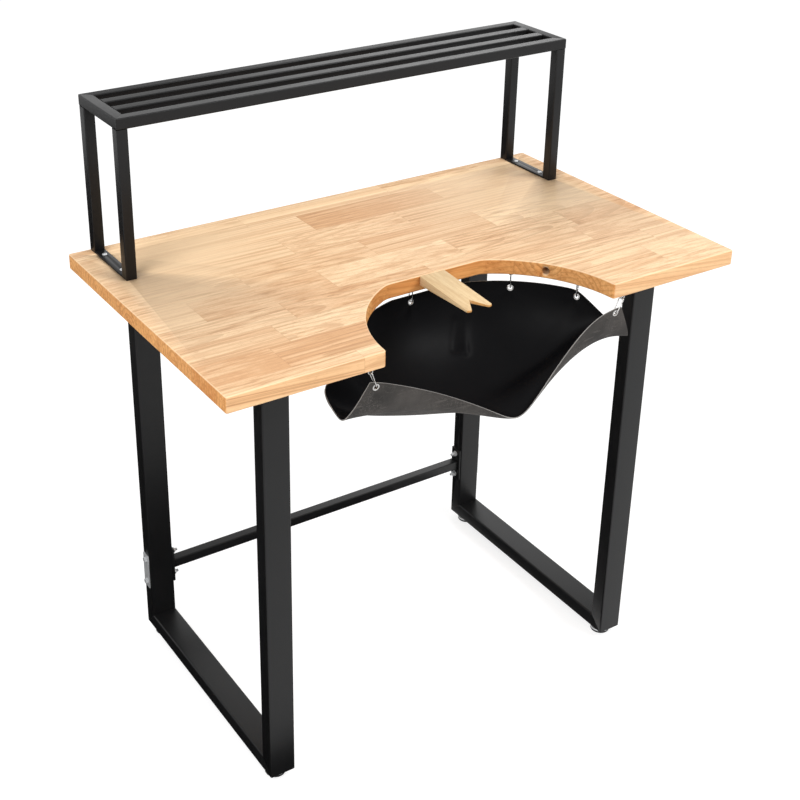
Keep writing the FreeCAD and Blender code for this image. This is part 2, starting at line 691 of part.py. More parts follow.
# ---------------------------------------------------------------- bench pin
def bench_pin():
    """Hardwood wedge with a V notch, and a tenon that fits the mortise."""
    body = new_body("bench_pin")
    wall = WALL_Y
    tips = f"({WALL_Y} - pin_reach)"
    top = "(work_height - pin_below)"
    tip_top = f"({top} - pin_drop)"
    corners = [
        (wall, f"({top} - pin_root)"), (wall, top), (tips, tip_top), (tips, f"({tip_top} - pin_tip)")]
    pad(body, outline(new_sketch(body, "YZ_Plane"), corners), "pin_width", both_ways=True)
    middle = f"({top} - pin_root / 2)"
    tenon = rectangle(new_sketch(body, "YZ_Plane"), wall, f"({middle} - tenon_thick / 2)",
                      f"({wall} + tenon_reach)", f"({middle} + tenon_thick / 2)")
    pad(body, tenon, "tenon_width", both_ways=True)
    notch = outline(new_sketch(body, "XY_Plane"), [
        ("0", f"({tips} + notch_depth)"),
        ("(0 - notch_width / 2)", tips),
        ("(0 - notch_width / 2)", f"({tips} - 5)"),
        ("(notch_width / 2)", f"({tips} - 5)"),
        ("(notch_width / 2)", tips)])
    pocket(body, notch)
    far = work_out(tips)
    outer = size("pin_width") / 2
    at_tip = lambda e: abs(e.Vertexes[0].Y - far) < 0.01 and abs(abs(e.Vertexes[0].X) - outer) < 0.01
    soften(body, straight_edges(body.Shape, Vector(0, 0, 1), at_tip), "4")
    place(body, x="pin_shift")
    node("bench_pin", body)


# ---------------------------------------------------------------- leather apron
def spline(grid):
    """A cubic surface pulled toward a grid of points, through its four corners."""
    knots = []
    for count in (len(grid), len(grid[0])):
        spans = count - 3
        inner = [1] * (spans - 1)
        knots.append(([4] + inner + [4], [number / spans for number in range(spans + 1)]))
    surface = Part.BSplineSurface()
    surface.buildFromPolesMultsKnots(
        grid, knots[0][0], knots[1][0], knots[0][1], knots[1][1], False, False, 3, 3)
    return surface


class Apron:
    """The leather's hanging shape: U-shaped ribs from rim to rim, a V at the front."""

    ROWS, COLUMNS = 24, 25

    def __init__(self):
        self.under = work_out(UNDER)
        self.eye_z = self.under - size("eye_gap") - size("eye_wire") - size("eye_ring")
        self.hook_drop = size("eye_ring") + size("clip_length")
        self.rim = self.eye_z - self.hook_drop + size("apron_margin")
        self.front = work_out(FRONT) + size("apron_front")
        self.rear = work_out(WALL_Y) + size("apron_rear")
        self.centre_y = work_out(FRONT) - size("cut_setback")
        self.reach = size("cut_radius") + size("apron_out")
        self.side_x = self.reach * math.cos(math.radians(25)) * size("apron_widen")
        self.side_y = self.centre_y + self.reach * math.sin(math.radians(25))
        self.corner_x = work_out(HALF_CHORD) + size("apron_corner")
        self.grid = []
        for row in range(self.ROWS):
            back = (row / (self.ROWS - 1)) ** 1.6
            across = [2 * column / (self.COLUMNS - 1) - 1 for column in range(self.COLUMNS)]
            self.grid.append([self.pole(place, back) for place in across])
        self.skin = spline(self.grid)

    def middle(self, across, back):
        """A point halfway through the leather, from its smooth surface."""
        return self.skin.value(back, (across + 1) / 2)

    def normal(self, across, back):
        """The unit normal on the leather's upper side."""
        across, back = max(-0.98, min(across, 0.98)), max(0.0, min(back, 0.98))
        return self.skin.normal(back, (across + 1) / 2) * -1

    def pole(self, across, back):
        """A point that pulls the leather's surface to its shape.

        across runs from -1 at the left edge to 1 at the right edge, and back from 0 at
        the free front edge to 1 at the rear edge.
        """
        side, inward = math.sin(across * math.pi / 2), math.cos(across * math.pi / 2)
        y = self.front + (self.rear - self.front) * math.sin(back * math.pi / 2)
        share = min((y - self.front) / (self.side_y - self.front), 1.0)
        edge = self.rim - size("corner_drop") * (1 - share)
        right = 0.5 + 0.5 * side / math.sqrt(side ** 2 + 0.02)
        start = 1 - math.exp(-share / 0.045)
        bump = 1.25 * start * (1 - share) * right
        bump += start * (1 - 0.45 * share) * (1 - share ** 8) * (1 - right)
        if share < 1:
            spread = self.corner_x + (self.side_x - self.corner_x) * share
            spread += size("apron_flare") * start * (1 - share) * right
            back_fold = (0.8 + 0.3 * share) * (1 - share ** 20)
            spread += size("apron_bulge") * start * back_fold * (1 - right)
        else:
            spread = math.sqrt(self.reach ** 2 - (y - self.centre_y) ** 2) * size("apron_widen")
        low = self.rim - size("apron_sag") * max(math.cos(back * math.pi / 2), 0) ** 0.8
        blunt = (math.sqrt(side ** 2 + 0.0036) - 0.06) / (math.sqrt(1.0036) - 0.06)
        fold = (1 - blunt) ** (1.3 + 0.7 * right)
        ear = abs(side) ** 1.25
        front = edge - (edge - low) * fold - size("apron_ear") * bump * ear
        edge -= size("apron_ear") * bump
        bowl = edge - max(edge - low, 0) * inward
        blend = min(max((share - 0.14) / 0.86, 0), 1)
        blend = blend ** 2 * (3 - 2 * blend)
        x = spread * side + size("apron_shift") * inward ** 4 * (1 - share)
        return Vector(x, y, front + (bowl - front) * blend)

    def search(self, start, end, arrived):
        """The place between two on the leather where arrived() turns true."""
        for _ in range(50):
            half = tuple((a + b) / 2 for a, b in zip(start, end))
            if arrived(self.middle(*half)):
                end = half
            else:
                start = half
        return end

    def corner_spot(self, side):
        """The place of a front eyelet, in from both edges of its corner."""
        margin, inset = size("corner_margin"), size("corner_inset")
        spot = (side * 0.9, 0.01)
        for _ in range(12):
            edge = self.middle(spot[0], 0)
            spot = self.search(
                (spot[0], 0), (spot[0], 0.1), lambda p: p.distanceToPoint(edge) > margin)
            edge = self.middle(side, spot[1])
            spot = self.search(
                (side, spot[1]), (side * 0.5, spot[1]), lambda p: p.distanceToPoint(edge) > inset)
        return spot

    def rim_spot(self, y, side):
        """The place of a side eyelet: at the clips' level, below the rim."""
        back = self.search((side, 0), (side, 1), lambda p: p.y > y)[1]
        low = self.eye_z - self.hook_drop
        return self.search((side, back), (side * 0.3, back), lambda p: p.z < low)

    def wall_spot(self, x):
        """The place of the eyelet on the flat wall, at the clips' level."""
        across = self.search((-1, 1), (1, 1), lambda p: p.x > x)[0]
        low = self.eye_z - self.hook_drop
        return self.search((across, 1), (across, 0.5), lambda p: p.z < low)


def hooks():
    """Eyelet, pivot and ring of each of the six clips, from the leather's shape."""
    leather = Apron()
    found = {}

    def hang(name, spot, side=0, swing=0.0):
        """Hang one clip. A front clip also leans outward and along its eyelet."""
        eyelet, normal = leather.middle(*spot), leather.normal(*spot)
        level = Vector(normal.x, normal.y, 0).normalize()
        sideways = Vector(0, 0, 1).cross(level)
        swing = math.radians(swing)
        reach = size("eye_ring") + size("clip_length") * math.cos(swing)
        tilt = math.acos(min(1.0, (leather.eye_z - eyelet.z) / reach)) * side
        drop = sideways * math.sin(tilt) - Vector(0, 0, 1) * math.cos(tilt)
        along = drop * math.cos(swing) - level * math.sin(swing)
        pivot = eyelet - along * size("clip_length")
        found[name] = {
            "eyelet": eyelet, "normal": normal, "level": level, "along": along,
            "pivot": pivot, "ring": pivot - drop * size("eye_ring")}

    for name, side in SIDES:
        hang(f"front_{name}", leather.corner_spot(side), side, size("front_swing"))
    for name, side, bearing in (("side_left", -1, 31), ("side_right", 1, 25), ("rear_right", 1, 52)):
        lift = leather.reach * math.sin(math.radians(bearing))
        hang(name, leather.rim_spot(leather.centre_y + lift, side))
    hang("rear_left", leather.wall_spot(size("pin_shift") - size("pin_width") / 2 + 5))
    return found


HOOKS = hooks()


def apron():
    """One sheet of leather, from the free front edge to the rim behind the cut-out."""
    leather = Apron()
    half = size("apron_thick") / 2

    def skin(lift):
        """The leather's surface moved along its normals."""
        grid = []
        for row, line in enumerate(leather.grid):
            back = row / (leather.ROWS - 1)
            across = [2 * column / (leather.COLUMNS - 1) - 1 for column in range(leather.COLUMNS)]
            grid.append([p + leather.normal(x, back) * lift for p, x in zip(line, across)])
        return spline(grid)

    upper, lower = skin(half), skin(-half)
    faces = [upper.toShape(), lower.toShape()]
    for pick in ("uIso", "vIso"):
        for end in (0, 1):
            edges = [getattr(surface, pick)(end).toShape() for surface in (upper, lower)]
            faces.append(Part.makeRuledSurface(*edges))
    shell = Part.makeShell(faces)
    shell.sewShape()
    solid = Part.makeSolid(Part.Shell(shell.Faces))
    if solid.Volume < 0:
        solid.reverse()
    sheet_body = doc.addObject("Part::Feature", "Leather")
    sheet_body.Shape = solid
    holes = []
    for hook in HOOKS.values():
        holes.append(pin_along("(eyelet_tube + 0.1)", "20", hook["eyelet"], hook["normal"], -10))
    node("apron", cut(sheet_body, group(*holes)))


def pin_along(radius, height, base, direction, start):
    """A cylinder along a direction, from a distance past its base."""
    solid = doc.addObject("Part::Cylinder", "Cylinder")
    bind(solid, "Radius", radius)
    bind(solid, "Height", height)
    solid.Placement = Placement(base + direction * start, Rotation(Vector(0, 0, 1), direction))
    return solid


def eyelets():
    """Six eyelets: a barrel with a flange on each side of the leather."""
    rings = []
    lift = size("apron_thick") / 2 + size("eyelet_seat")
    lip = size("eyelet_lip")
    barrel = "(apron_thick + 2 * eyelet_seat + 2 * eyelet_lip)"
    for hook in HOOKS.values():
        centre, axis = hook["eyelet"], hook["normal"]
        rings.append(cut(
            fuse(
                pin_along("eyelet_flange", "eyelet_lip", centre, axis, lift),
                pin_along("eyelet_flange", "eyelet_lip", centre, axis, -lift - lip),
                pin_along("eyelet_tube", barrel, centre, axis, -lift - lip)),
            pin_along("eyelet_hole", f"({barrel} + 2)", centre, axis, -lift - lip - 1)))
    node("eyelets", group(*rings))


def wire_section(sketch, x, radius):
    """An eight-sided wire section, its corners on a circle."""
    corners = []
    for number in range(8):
        bearing = 22.5 + 45 * number
        corners.append((f"({x} + {radius} * cos({bearing}))", f"({radius} * sin({bearing}))"))
    return outline(sketch, corners)


def screw_eyes():
    """Six screw eyes in the underside of the benchtop."""
    up = Vector(0, 0, 1)
    eyes = []
    for hook in HOOKS.values():
        ring = new_body("eye_ring")
        spin = ring.newObject("PartDesign::Revolution", "Revolution")
        spin.Profile = wire_section(new_sketch(ring, "XZ_Plane"), "eye_ring", "eye_wire")
        spin.ReferenceAxis = (spin.Profile[0], ["V_Axis"])
        ring.Placement = Placement(hook["ring"], Rotation(up, hook["level"]))
        shank = doc.addObject("Part::Prism", "Prism")
        shank.Polygon = 8
        bind(shank, "Circumradius", "eye_wire")
        bind(shank, "Height", "(eye_wire + eye_gap + eye_shank)")
        shank.Placement = Placement(hook["ring"] + up * size("eye_ring"), Rotation())
        eyes.append(fuse(ring, shank))
    node("screw_eyes", group(*eyes))


def hook_clips():
    """Six pear-shaped wire clips, each an open loop of wire swept along its path."""
    top = "(clip_crook - eye_wire - clip_wire - clip_play)"
    drop = f"(clip_length - clip_rest - clip_belly - {top})"
    slope = f"((clip_belly - clip_crook) / {drop})"
    run = f"sqrt(1 - {slope} ^ 2)"
    low = f"({top} + {drop})"
    begin, end = (f"({drop} * 0.45 {way} clip_gap / 2)" for way in "-+")

    def beside(fall):
        """How far out the clip's straight side lies, under its upper bend's centre."""
        return f"((clip_crook + {slope} * {fall}) / {run})"

    path = [
        (beside(begin), f"(0 - {top} - {begin})"),
        (f"(clip_crook * {run})", f"(clip_crook * {slope} - {top})"),
        (f"(0 - clip_crook * {run})", f"(clip_crook * {slope} - {top})"),
        (f"(0 - clip_belly * {run})", f"(clip_belly * {slope} - {low})"),
        (f"(clip_belly * {run})", f"(clip_belly * {slope} - {low})"),
        (beside(end), f"(0 - {top} - {end})"),
    ]
    bends = {
        1: ("clip_crook", "0", f"(0 - {top})", True),
        3: ("clip_belly", "0", f"(0 - {low})", True)}
    for name, hook in HOOKS.items():
        body = new_body(f"hook_clip_{name}")
        spine = outline(new_sketch(body, "XY_Plane"), path, bends, closed=False)
        wire = new_sketch(body, "XZ_Plane", f"({top} + {begin})")
        sweep = body.newObject("PartDesign::AdditivePipe", "Pipe")
        sweep.Profile = wire_section(wire, beside(begin), "clip_wire")
        sweep.Spine = (spine, [f"Edge{number + 1}" for number in range(5)])
        sweep.Mode = "Frenet"
        doc.recompute()
        up, across = hook["along"] * -1, hook["level"] * -1
        turned = Rotation(across, up, across.cross(up), "YXZ")
        body.Placement = Placement(hook["pivot"], turned)
        node(f"hook_clip_{name}", body)


def export():
    """Check every object and write one STEP file for each node."""
    doc.recompute()
    for thing in doc.Objects:
        if {"Invalid", "Error"} & set(thing.State):
            raise RuntimeError(f"{thing.Label}: {thing.State}")
    os.makedirs("parts", exist_ok=True)
    for name, thing in NODES.items():
        shape = thing.Shape
        if shape.isNull() or not shape.isValid() or not shape.Solids:
            raise RuntimeError(f"{name}: its shape is not a valid solid")
    for name, thing in NODES.items():
        thing.Shape.exportStep(f"parts/{name}.step")


for build in (benchtop, leg_frames, feet, stretcher, rack, top_screws, bench_pin,
              apron, eyelets, screw_eyes, hook_clips, export):
    build()
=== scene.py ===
"""Wood, steel, wire and leather of a jewelers bench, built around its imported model.

The hardwood benchtop stands on two welded leg frames with a stretcher between the rear
legs. A slatted rack is screwed on along the rear edge, the bench pin plugs into the flat
wall of the cut-out, and a leather apron hangs under the cut-out on six wire clips.
"""

import json
import math
from functools import partialmethod

import bmesh
import bpy
import numpy as np
from mathutils import Matrix, Vector


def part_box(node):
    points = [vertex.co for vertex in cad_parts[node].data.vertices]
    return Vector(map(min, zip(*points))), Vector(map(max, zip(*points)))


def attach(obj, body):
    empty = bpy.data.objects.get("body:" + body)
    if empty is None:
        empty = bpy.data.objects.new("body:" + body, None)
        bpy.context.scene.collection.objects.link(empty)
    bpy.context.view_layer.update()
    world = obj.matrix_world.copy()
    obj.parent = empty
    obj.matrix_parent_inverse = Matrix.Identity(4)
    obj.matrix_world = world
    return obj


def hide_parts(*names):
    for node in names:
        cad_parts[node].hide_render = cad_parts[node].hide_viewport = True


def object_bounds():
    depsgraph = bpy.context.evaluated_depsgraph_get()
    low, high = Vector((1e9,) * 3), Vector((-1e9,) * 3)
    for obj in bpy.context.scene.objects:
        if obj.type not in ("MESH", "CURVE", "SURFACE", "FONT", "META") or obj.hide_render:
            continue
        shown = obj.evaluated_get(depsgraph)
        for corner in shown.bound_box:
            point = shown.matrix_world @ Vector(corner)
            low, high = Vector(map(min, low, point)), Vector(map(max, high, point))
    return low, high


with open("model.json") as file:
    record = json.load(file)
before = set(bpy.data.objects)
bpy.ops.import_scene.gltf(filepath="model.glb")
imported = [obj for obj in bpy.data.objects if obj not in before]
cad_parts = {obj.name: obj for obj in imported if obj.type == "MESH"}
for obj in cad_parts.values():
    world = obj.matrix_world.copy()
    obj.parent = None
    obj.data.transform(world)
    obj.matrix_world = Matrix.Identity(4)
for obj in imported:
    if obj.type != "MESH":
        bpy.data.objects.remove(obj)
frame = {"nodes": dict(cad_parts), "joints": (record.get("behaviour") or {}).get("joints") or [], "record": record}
cad_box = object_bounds()

bl_info = {
    "name": "Jewelers Bench",
    "version": (1, 0, 0),
    "blender": (4, 5, 0),
    "location": "3D View > Sidebar > Bench",
    "description": "Finishes and fine pieces of a jewelers bench with a leather apron",
    "category": "Object",
}

MM = 0.001
UP = Vector((0, 0, 1))
SLOT_OF = {part["node"]: part["material_slot"] for part in frame["record"]["subparts"]}
BODY_OF = {
    node: body
    for body, nodes in frame["record"]["behaviour"]["bodies"].items()
    for node in nodes
}
HOOK_NAMES = ("front_left", "side_left", "front_right", "side_right", "rear_right", "rear_left")
FEET = [f"{side}_{end}" for side in ("left", "right") for end in ("front", "rear")]


# --- settings
def length_setting(name, millimetres, description):
    """A size that the user can change, in metres."""
    return bpy.props.FloatProperty(
        name=name, description=description, default=millimetres * MM, min=0.0,
        subtype="DISTANCE", unit="LENGTH", precision=5)


def number_setting(name, value, description, unit="NONE", low=0.0):
    """A plain number or a lamp's power that the user can change."""
    return bpy.props.FloatProperty(
        name=name, description=description, default=value, min=low, subtype=unit, unit=unit)


def colour_setting(name, colour, description):
    """A linear colour that the user can change."""
    return bpy.props.FloatVectorProperty(
        name=name, description=description, default=colour, size=3, min=0.0, max=1.0,
        subtype="COLOR")


class BenchSizes(bpy.types.PropertyGroup):
    """Sizes of the wood's rings, of softened edges, of threads and of the leather."""

    ring_width: length_setting("Growth ring", 9.0, "Distance between two growth rings")
    steel_edge: length_setting("Steel edge", 0.35, "Softening of the steel's cut edges")
    wood_edge: length_setting("Wood edge", 0.8, "Softening of the bench pin's edges")
    thread_pitch: length_setting("Thread pitch", 1.25, "Pitch of the foot studs' thread")
    bolt_pitch: length_setting("Bolt pitch", 1.0, "Pitch of the frame bolts' thread")
    leather_thick: length_setting("Leather thickness", 1.8, "Thickness of the apron's leather")
    pucker_height: length_setting("Pucker", 1.1, "Height of the puckers round the eyelets")
    ripple_height: length_setting("Ripple", 1.3, "Height of the leather's broad ripples")
    coat_grain: length_setting("Coat grain", 1.1, "Size of the powder coat's grain")


class BenchColours(bpy.types.PropertyGroup):
    """Colours of the bench's materials."""

    board_pale: colour_setting("Board, pale", (0.92, 0.68, 0.43), "Palest staves")
    board_warm: colour_setting("Board, warm", (0.66, 0.385, 0.205), "Darkest staves")
    board_vein: colour_setting("Board, veins", (0.38, 0.19, 0.085), "Veins and pores")
    # Tint of sawn end grain, also used as painted shade on the board's vertical faces.
    sawn_tint_and_shade: colour_setting("Sawn faces", (0.90, 0.66, 0.40), "Tint of ends and cut-out")
    # The socket colour is painted shade for the inside of the hole.
    bore: colour_setting("Socket", (0.16, 0.085, 0.045), "Drilled wood inside the socket")
    pin_pale: colour_setting("Pin, pale", (0.72, 0.54, 0.31), "Bare wood of the bench pin")
    pin_warm: colour_setting("Pin, warm", (0.58, 0.38, 0.19), "Darker grain of the bench pin")
    powder_coat: colour_setting("Powder coat", (0.0060, 0.0060, 0.0064), "Black powder coat")
    zinc: colour_setting("Zinc plating", (0.60, 0.61, 0.62), "Plated straps and fasteners")
    nickel: colour_setting("Nickel wire", (0.45, 0.44, 0.43), "Clips, eyes and eyelets")
    plastic: colour_setting("Foot plastic", (0.022, 0.022, 0.023), "Pads of the feet")
    leather: colour_setting("Leather", (0.0042, 0.0042, 0.0048), "Smooth side of the apron")
    suede: colour_setting("Suede", (0.045, 0.040, 0.036), "Rough side of the apron")
    cut_edge: colour_setting("Cut edge", (0.25, 0.24, 0.23), "Cut edge of the leather")


class BenchStage(bpy.types.PropertyGroup):
    """Lamps, floor and camera."""

    key_watts: number_setting("Key lamp", 60.0, "Power of the large lamp", "POWER")
    rim_watts: number_setting("Rear lamp", 16.0, "Power of the lamp behind the bench", "POWER")
    side_watts: number_setting("Side lamp", 42.0, "Power of the soft lamp at the left", "POWER")
    fill_light: number_setting("Room light", 0.66, "Strength of the room's even light")
    lens: number_setting("Lens", 63.40, "Camera's focal length in millimetres", low=1.0)


def sizes():
    return bpy.context.scene.bench_sizes


def colours():
    return bpy.context.scene.bench_colours


def stage():
    return bpy.context.scene.bench_stage


# --- node helper
class Tree:
    """Adds nodes to a tree and joins them, a value or a socket for each input."""

    def __init__(self, tree):
        self.tree = tree

    def add(self, kind, inputs=None, **settings):
        node = self.tree.nodes.new(kind)
        for key, value in settings.items():
            setattr(node, key, value)
        for key, value in (inputs or {}).items():
            if isinstance(value, bpy.types.NodeSocket):
                self.tree.links.new(value, node.inputs[key])
            else:
                node.inputs[key].default_value = value
        return node

    def out(self, kind, inputs=None, **settings):
        """The first output of a new node."""
        return self.add(kind, inputs, **settings).outputs[0]

    def math(self, operation, *values, clamp=False):
        node = self.add("ShaderNodeMath", dict(enumerate(values)), operation=operation)
        node.use_clamp = clamp
        return node.outputs[0]

    times = partialmethod(math, "MULTIPLY")
    scaled = partialmethod(math, "MULTIPLY_ADD")
    plus = partialmethod(math, "ADD")
    minus = partialmethod(math, "SUBTRACT")
    over = partialmethod(math, "DIVIDE")
    least = partialmethod(math, "MINIMUM")
    most = partialmethod(math, "MAXIMUM")
    size = partialmethod(math, "ABSOLUTE")
    power = partialmethod(math, "POWER")
    root = partialmethod(math, "SQRT")

    def vector(self, x, y, z):
        return self.out("ShaderNodeCombineXYZ", {0: x, 1: y, 2: z})

    def noise(self, where, scale, detail=2.0, roughness=0.5, distortion=0.0):
        inputs = {"Vector": where, "Scale": scale, "Detail": detail, "Roughness": roughness,
                  "Distortion": distortion}
        return self.add("ShaderNodeTexNoise", inputs).outputs["Fac"]

    def span(self, value, low, high, to_low=0.0, to_high=1.0):
        """A value between two levels, smoothly taken to two others."""
        inputs = {"Value": value, "From Min": low, "From Max": high, "To Min": to_low,
                  "To Max": to_high}
        return self.out("ShaderNodeMapRange", inputs, interpolation_type="SMOOTHSTEP")

    def mix(self, share, first, second, blend="MIX"):
        node = self.add("ShaderNodeMix", {"Factor": share}, data_type="RGBA", blend_type=blend)
        for socket, value in ((node.inputs[6], first), (node.inputs[7], second)):
            if isinstance(value, bpy.types.NodeSocket):
                self.tree.links.new(value, socket)
            else:
                socket.default_value = (*value, 1.0)
        return node.outputs[2]


class Finish(Tree):
    """A material with a single principled shader."""

    def __init__(self, name, **constants):
        self.material = bpy.data.materials.new(name)
        self.material.use_nodes = True
        super().__init__(self.material.node_tree)
        self.shader = self.tree.nodes["Principled BSDF"]
        for key, value in constants.items():
            socket = self.shader.inputs[key.replace("_", " ")]
            socket.default_value = (*value, 1.0) if hasattr(value, "__len__") else value
        self.where = self.add("ShaderNodeTexCoord").outputs["Object"]

    def set(self, key, value):
        self.tree.links.new(value, self.shader.inputs[key])

    def axes(self):
        """The place along each axis."""
        return self.add("ShaderNodeSeparateXYZ", {0: self.where}).outputs

    def streaks(self, scales, detail, roughness, axes=None):
        """Noise drawn out along the axes that have the smaller scales."""
        parts = [self.times(axis, scale) for axis, scale in zip(axes or self.axes(), scales)]
        return self.noise(self.vector(*parts), 1.0, detail, roughness)

    def tint(self, share, shade, dark, light):
        """Colour the surface from a darker to a lighter kind of one shade."""
        self.set("Base Color", self.mix(share, shade * dark, shade * light))

    def rough(self, value, reach, least):
        """Make the surface as rough as a value says."""
        self.set("Roughness", self.scaled(value, reach, least))

    def multiplied(self, share, colour, tint):
        """A colour that is tinted by a share."""
        return self.mix(share, colour, self.mix(1.0, colour, tint, "MULTIPLY"))

    def bump(self, height, depth, strength=1.0, under=None):
        inputs = {"Height": height, "Distance": depth, "Strength": strength}
        if under:
            inputs["Normal"] = under
        normal = self.out("ShaderNodeBump", inputs)
        self.set("Normal", normal)
        return normal


# --- materials
MADE = {}


def material(name):
    """The finish of that name, made once."""
    if name not in MADE:
        MADE[name] = FINISHES[name]().material
    return MADE[name]


def grain(finish, x, y, z, pale, warm, vein, tone, strength):
    """Colour the wood by its streaks, growth rings and pores, with x along the fibres."""
    def fibres(along, over, detail, roughness=0.6):
        return finish.streaks((along, over, over), detail, roughness, (x, y, z))

    sway = finish.scaled(fibres(2.0, 7.0, 2.0), 0.05, -0.025)
    heart = finish.plus(finish.power(finish.plus(y, sway), 2.0), finish.power(z, 2.0))
    heart = finish.root(heart)
    rings = finish.math("FRACT", finish.over(heart, sizes().ring_width))
    late = finish.times(finish.span(rings, 0.45, 0.96), finish.span(rings, 1.0, 0.97))
    y = finish.plus(y, finish.times(sway, 0.08))
    broad = finish.span(fibres(1.1, 30.0, 2.0), 0.32, 0.68)
    streak = fibres(1.1, 170.0, 6.0, 0.70)
    fine = fibres(10.0, 620.0, 3.0)
    pores = finish.span(fibres(70.0, 1500.0, 1.0), 0.60, 0.70)
    level = finish.scaled(finish.span(streak, 0.34, 0.62), 0.50, -0.26)
    level = finish.plus(finish.times(broad, 0.30), level)
    level = finish.plus(finish.times(tone, 0.66), level)
    level = finish.plus(finish.times(fine, 0.26), level, clamp=True)
    colour = finish.mix(level, pale, warm)
    dark = finish.times(finish.span(streak, 0.52, 0.66), finish.times(strength, 0.62))
    dark = finish.most(dark, finish.times(pores, 0.36))
    dark = finish.most(dark, finish.times(late, finish.times(strength, 0.34)))
    return finish.mix(dark, colour, vein), late, fine, pores


def faces_of(finish):
    """How far the surface turns along each axis, from 0 to 1."""
    normal = finish.add("ShaderNodeNewGeometry").outputs["Normal"]
    normal = finish.add("ShaderNodeSeparateXYZ", {0: normal})
    return [finish.size(axis) for axis in normal.outputs]


def row_ramp(finish, row, rows, spare):
    """Up to four numbers for each row of staves, as a stepped ramp's channels."""
    place = finish.scaled(row, 1 / len(rows), 0.5 / len(rows))
    ramp = finish.add("ShaderNodeValToRGB", {0: place})
    stops = ramp.color_ramp
    stops.interpolation = "CONSTANT"
    for number, values in enumerate(rows):
        stop = stops.elements[number] if number < 2 else stops.elements.new(number / len(rows))
        stop.position = number / len(rows)
        stop.color = (list(values) + [spare] * 4)[:4]
    parts = finish.add("ShaderNodeSeparateColor", {0: ramp.outputs["Color"]}).outputs
    return [parts[0], parts[1], parts[2], ramp.outputs["Alpha"]]


def staves(finish, place):
    """Row and number of the stave at a place, its tone, and how near a glued joint is."""
    half = cad_box[1].x
    row, gap = 0.0, 1.0
    for line in STAVE_ROWS:
        row = finish.plus(row, finish.math("LESS_THAN", place[1], line * MM))
        gap = finish.least(gap, finish.size(finish.minus(place[1], line * MM)))
    joints = [[(joint * MM + half) / (2 * half) for joint in line] for line, _ in STAVES]
    along = finish.over(finish.plus(place[0], half), 2 * half)
    number, butt = 0.0, 1.0
    for joint in row_ramp(finish, row, joints, 2.0):
        number = finish.plus(number, finish.math("GREATER_THAN", along, joint))
        butt = finish.least(butt, finish.size(finish.minus(along, joint)))
    first = row_ramp(finish, row, [tones[:4] for _, tones in STAVES], 0.3)
    last = row_ramp(finish, row, [tones[4:] for _, tones in STAVES], 0.3)[0]
    tone = 0.0
    for count, value in enumerate((*first, last)):
        chosen = finish.math("COMPARE", number, float(count), 0.5)
        tone = finish.scaled(chosen, value, tone)
    near = finish.least(gap, finish.times(butt, 2 * half))
    return row, number, tone, finish.span(near, 0.00065, 0.0001)


# Front edge of each row of staves but the last, from the rear, in millimetres.
STAVE_ROWS = (242, 165, 88, 10, -68, -132, -196, -270)
# For each row its joints from left to right in millimetres, and how dark each stave is.
STAVES = (
    ((-178, 140), (0.30, 0.15, 0.30)),
    ((-78, 215), (0.12, 0.92, 0.55)),
    ((-165, 90, 400), (0.18, 0.36, 0.52, 0.35)),
    ((-300, -42, 218, 475), (0.30, 0.50, 0.62, 0.06, 0.50)),
    ((-420, -173, 92, 350), (0.10, 0.78, 0.16, 0.32, 0.68)),
    ((-290, 0, 330), (0.34, 0.58, 0.34, 0.22)),
    ((-340, 0, 430), (0.34, 0.16, 0.26, 0.36)),
    ((-380, 0, 380), (0.90, 0.98, 0.30, 0.20)),
    ((-270, 0), (0.28, 0.02, 0.24)),
)


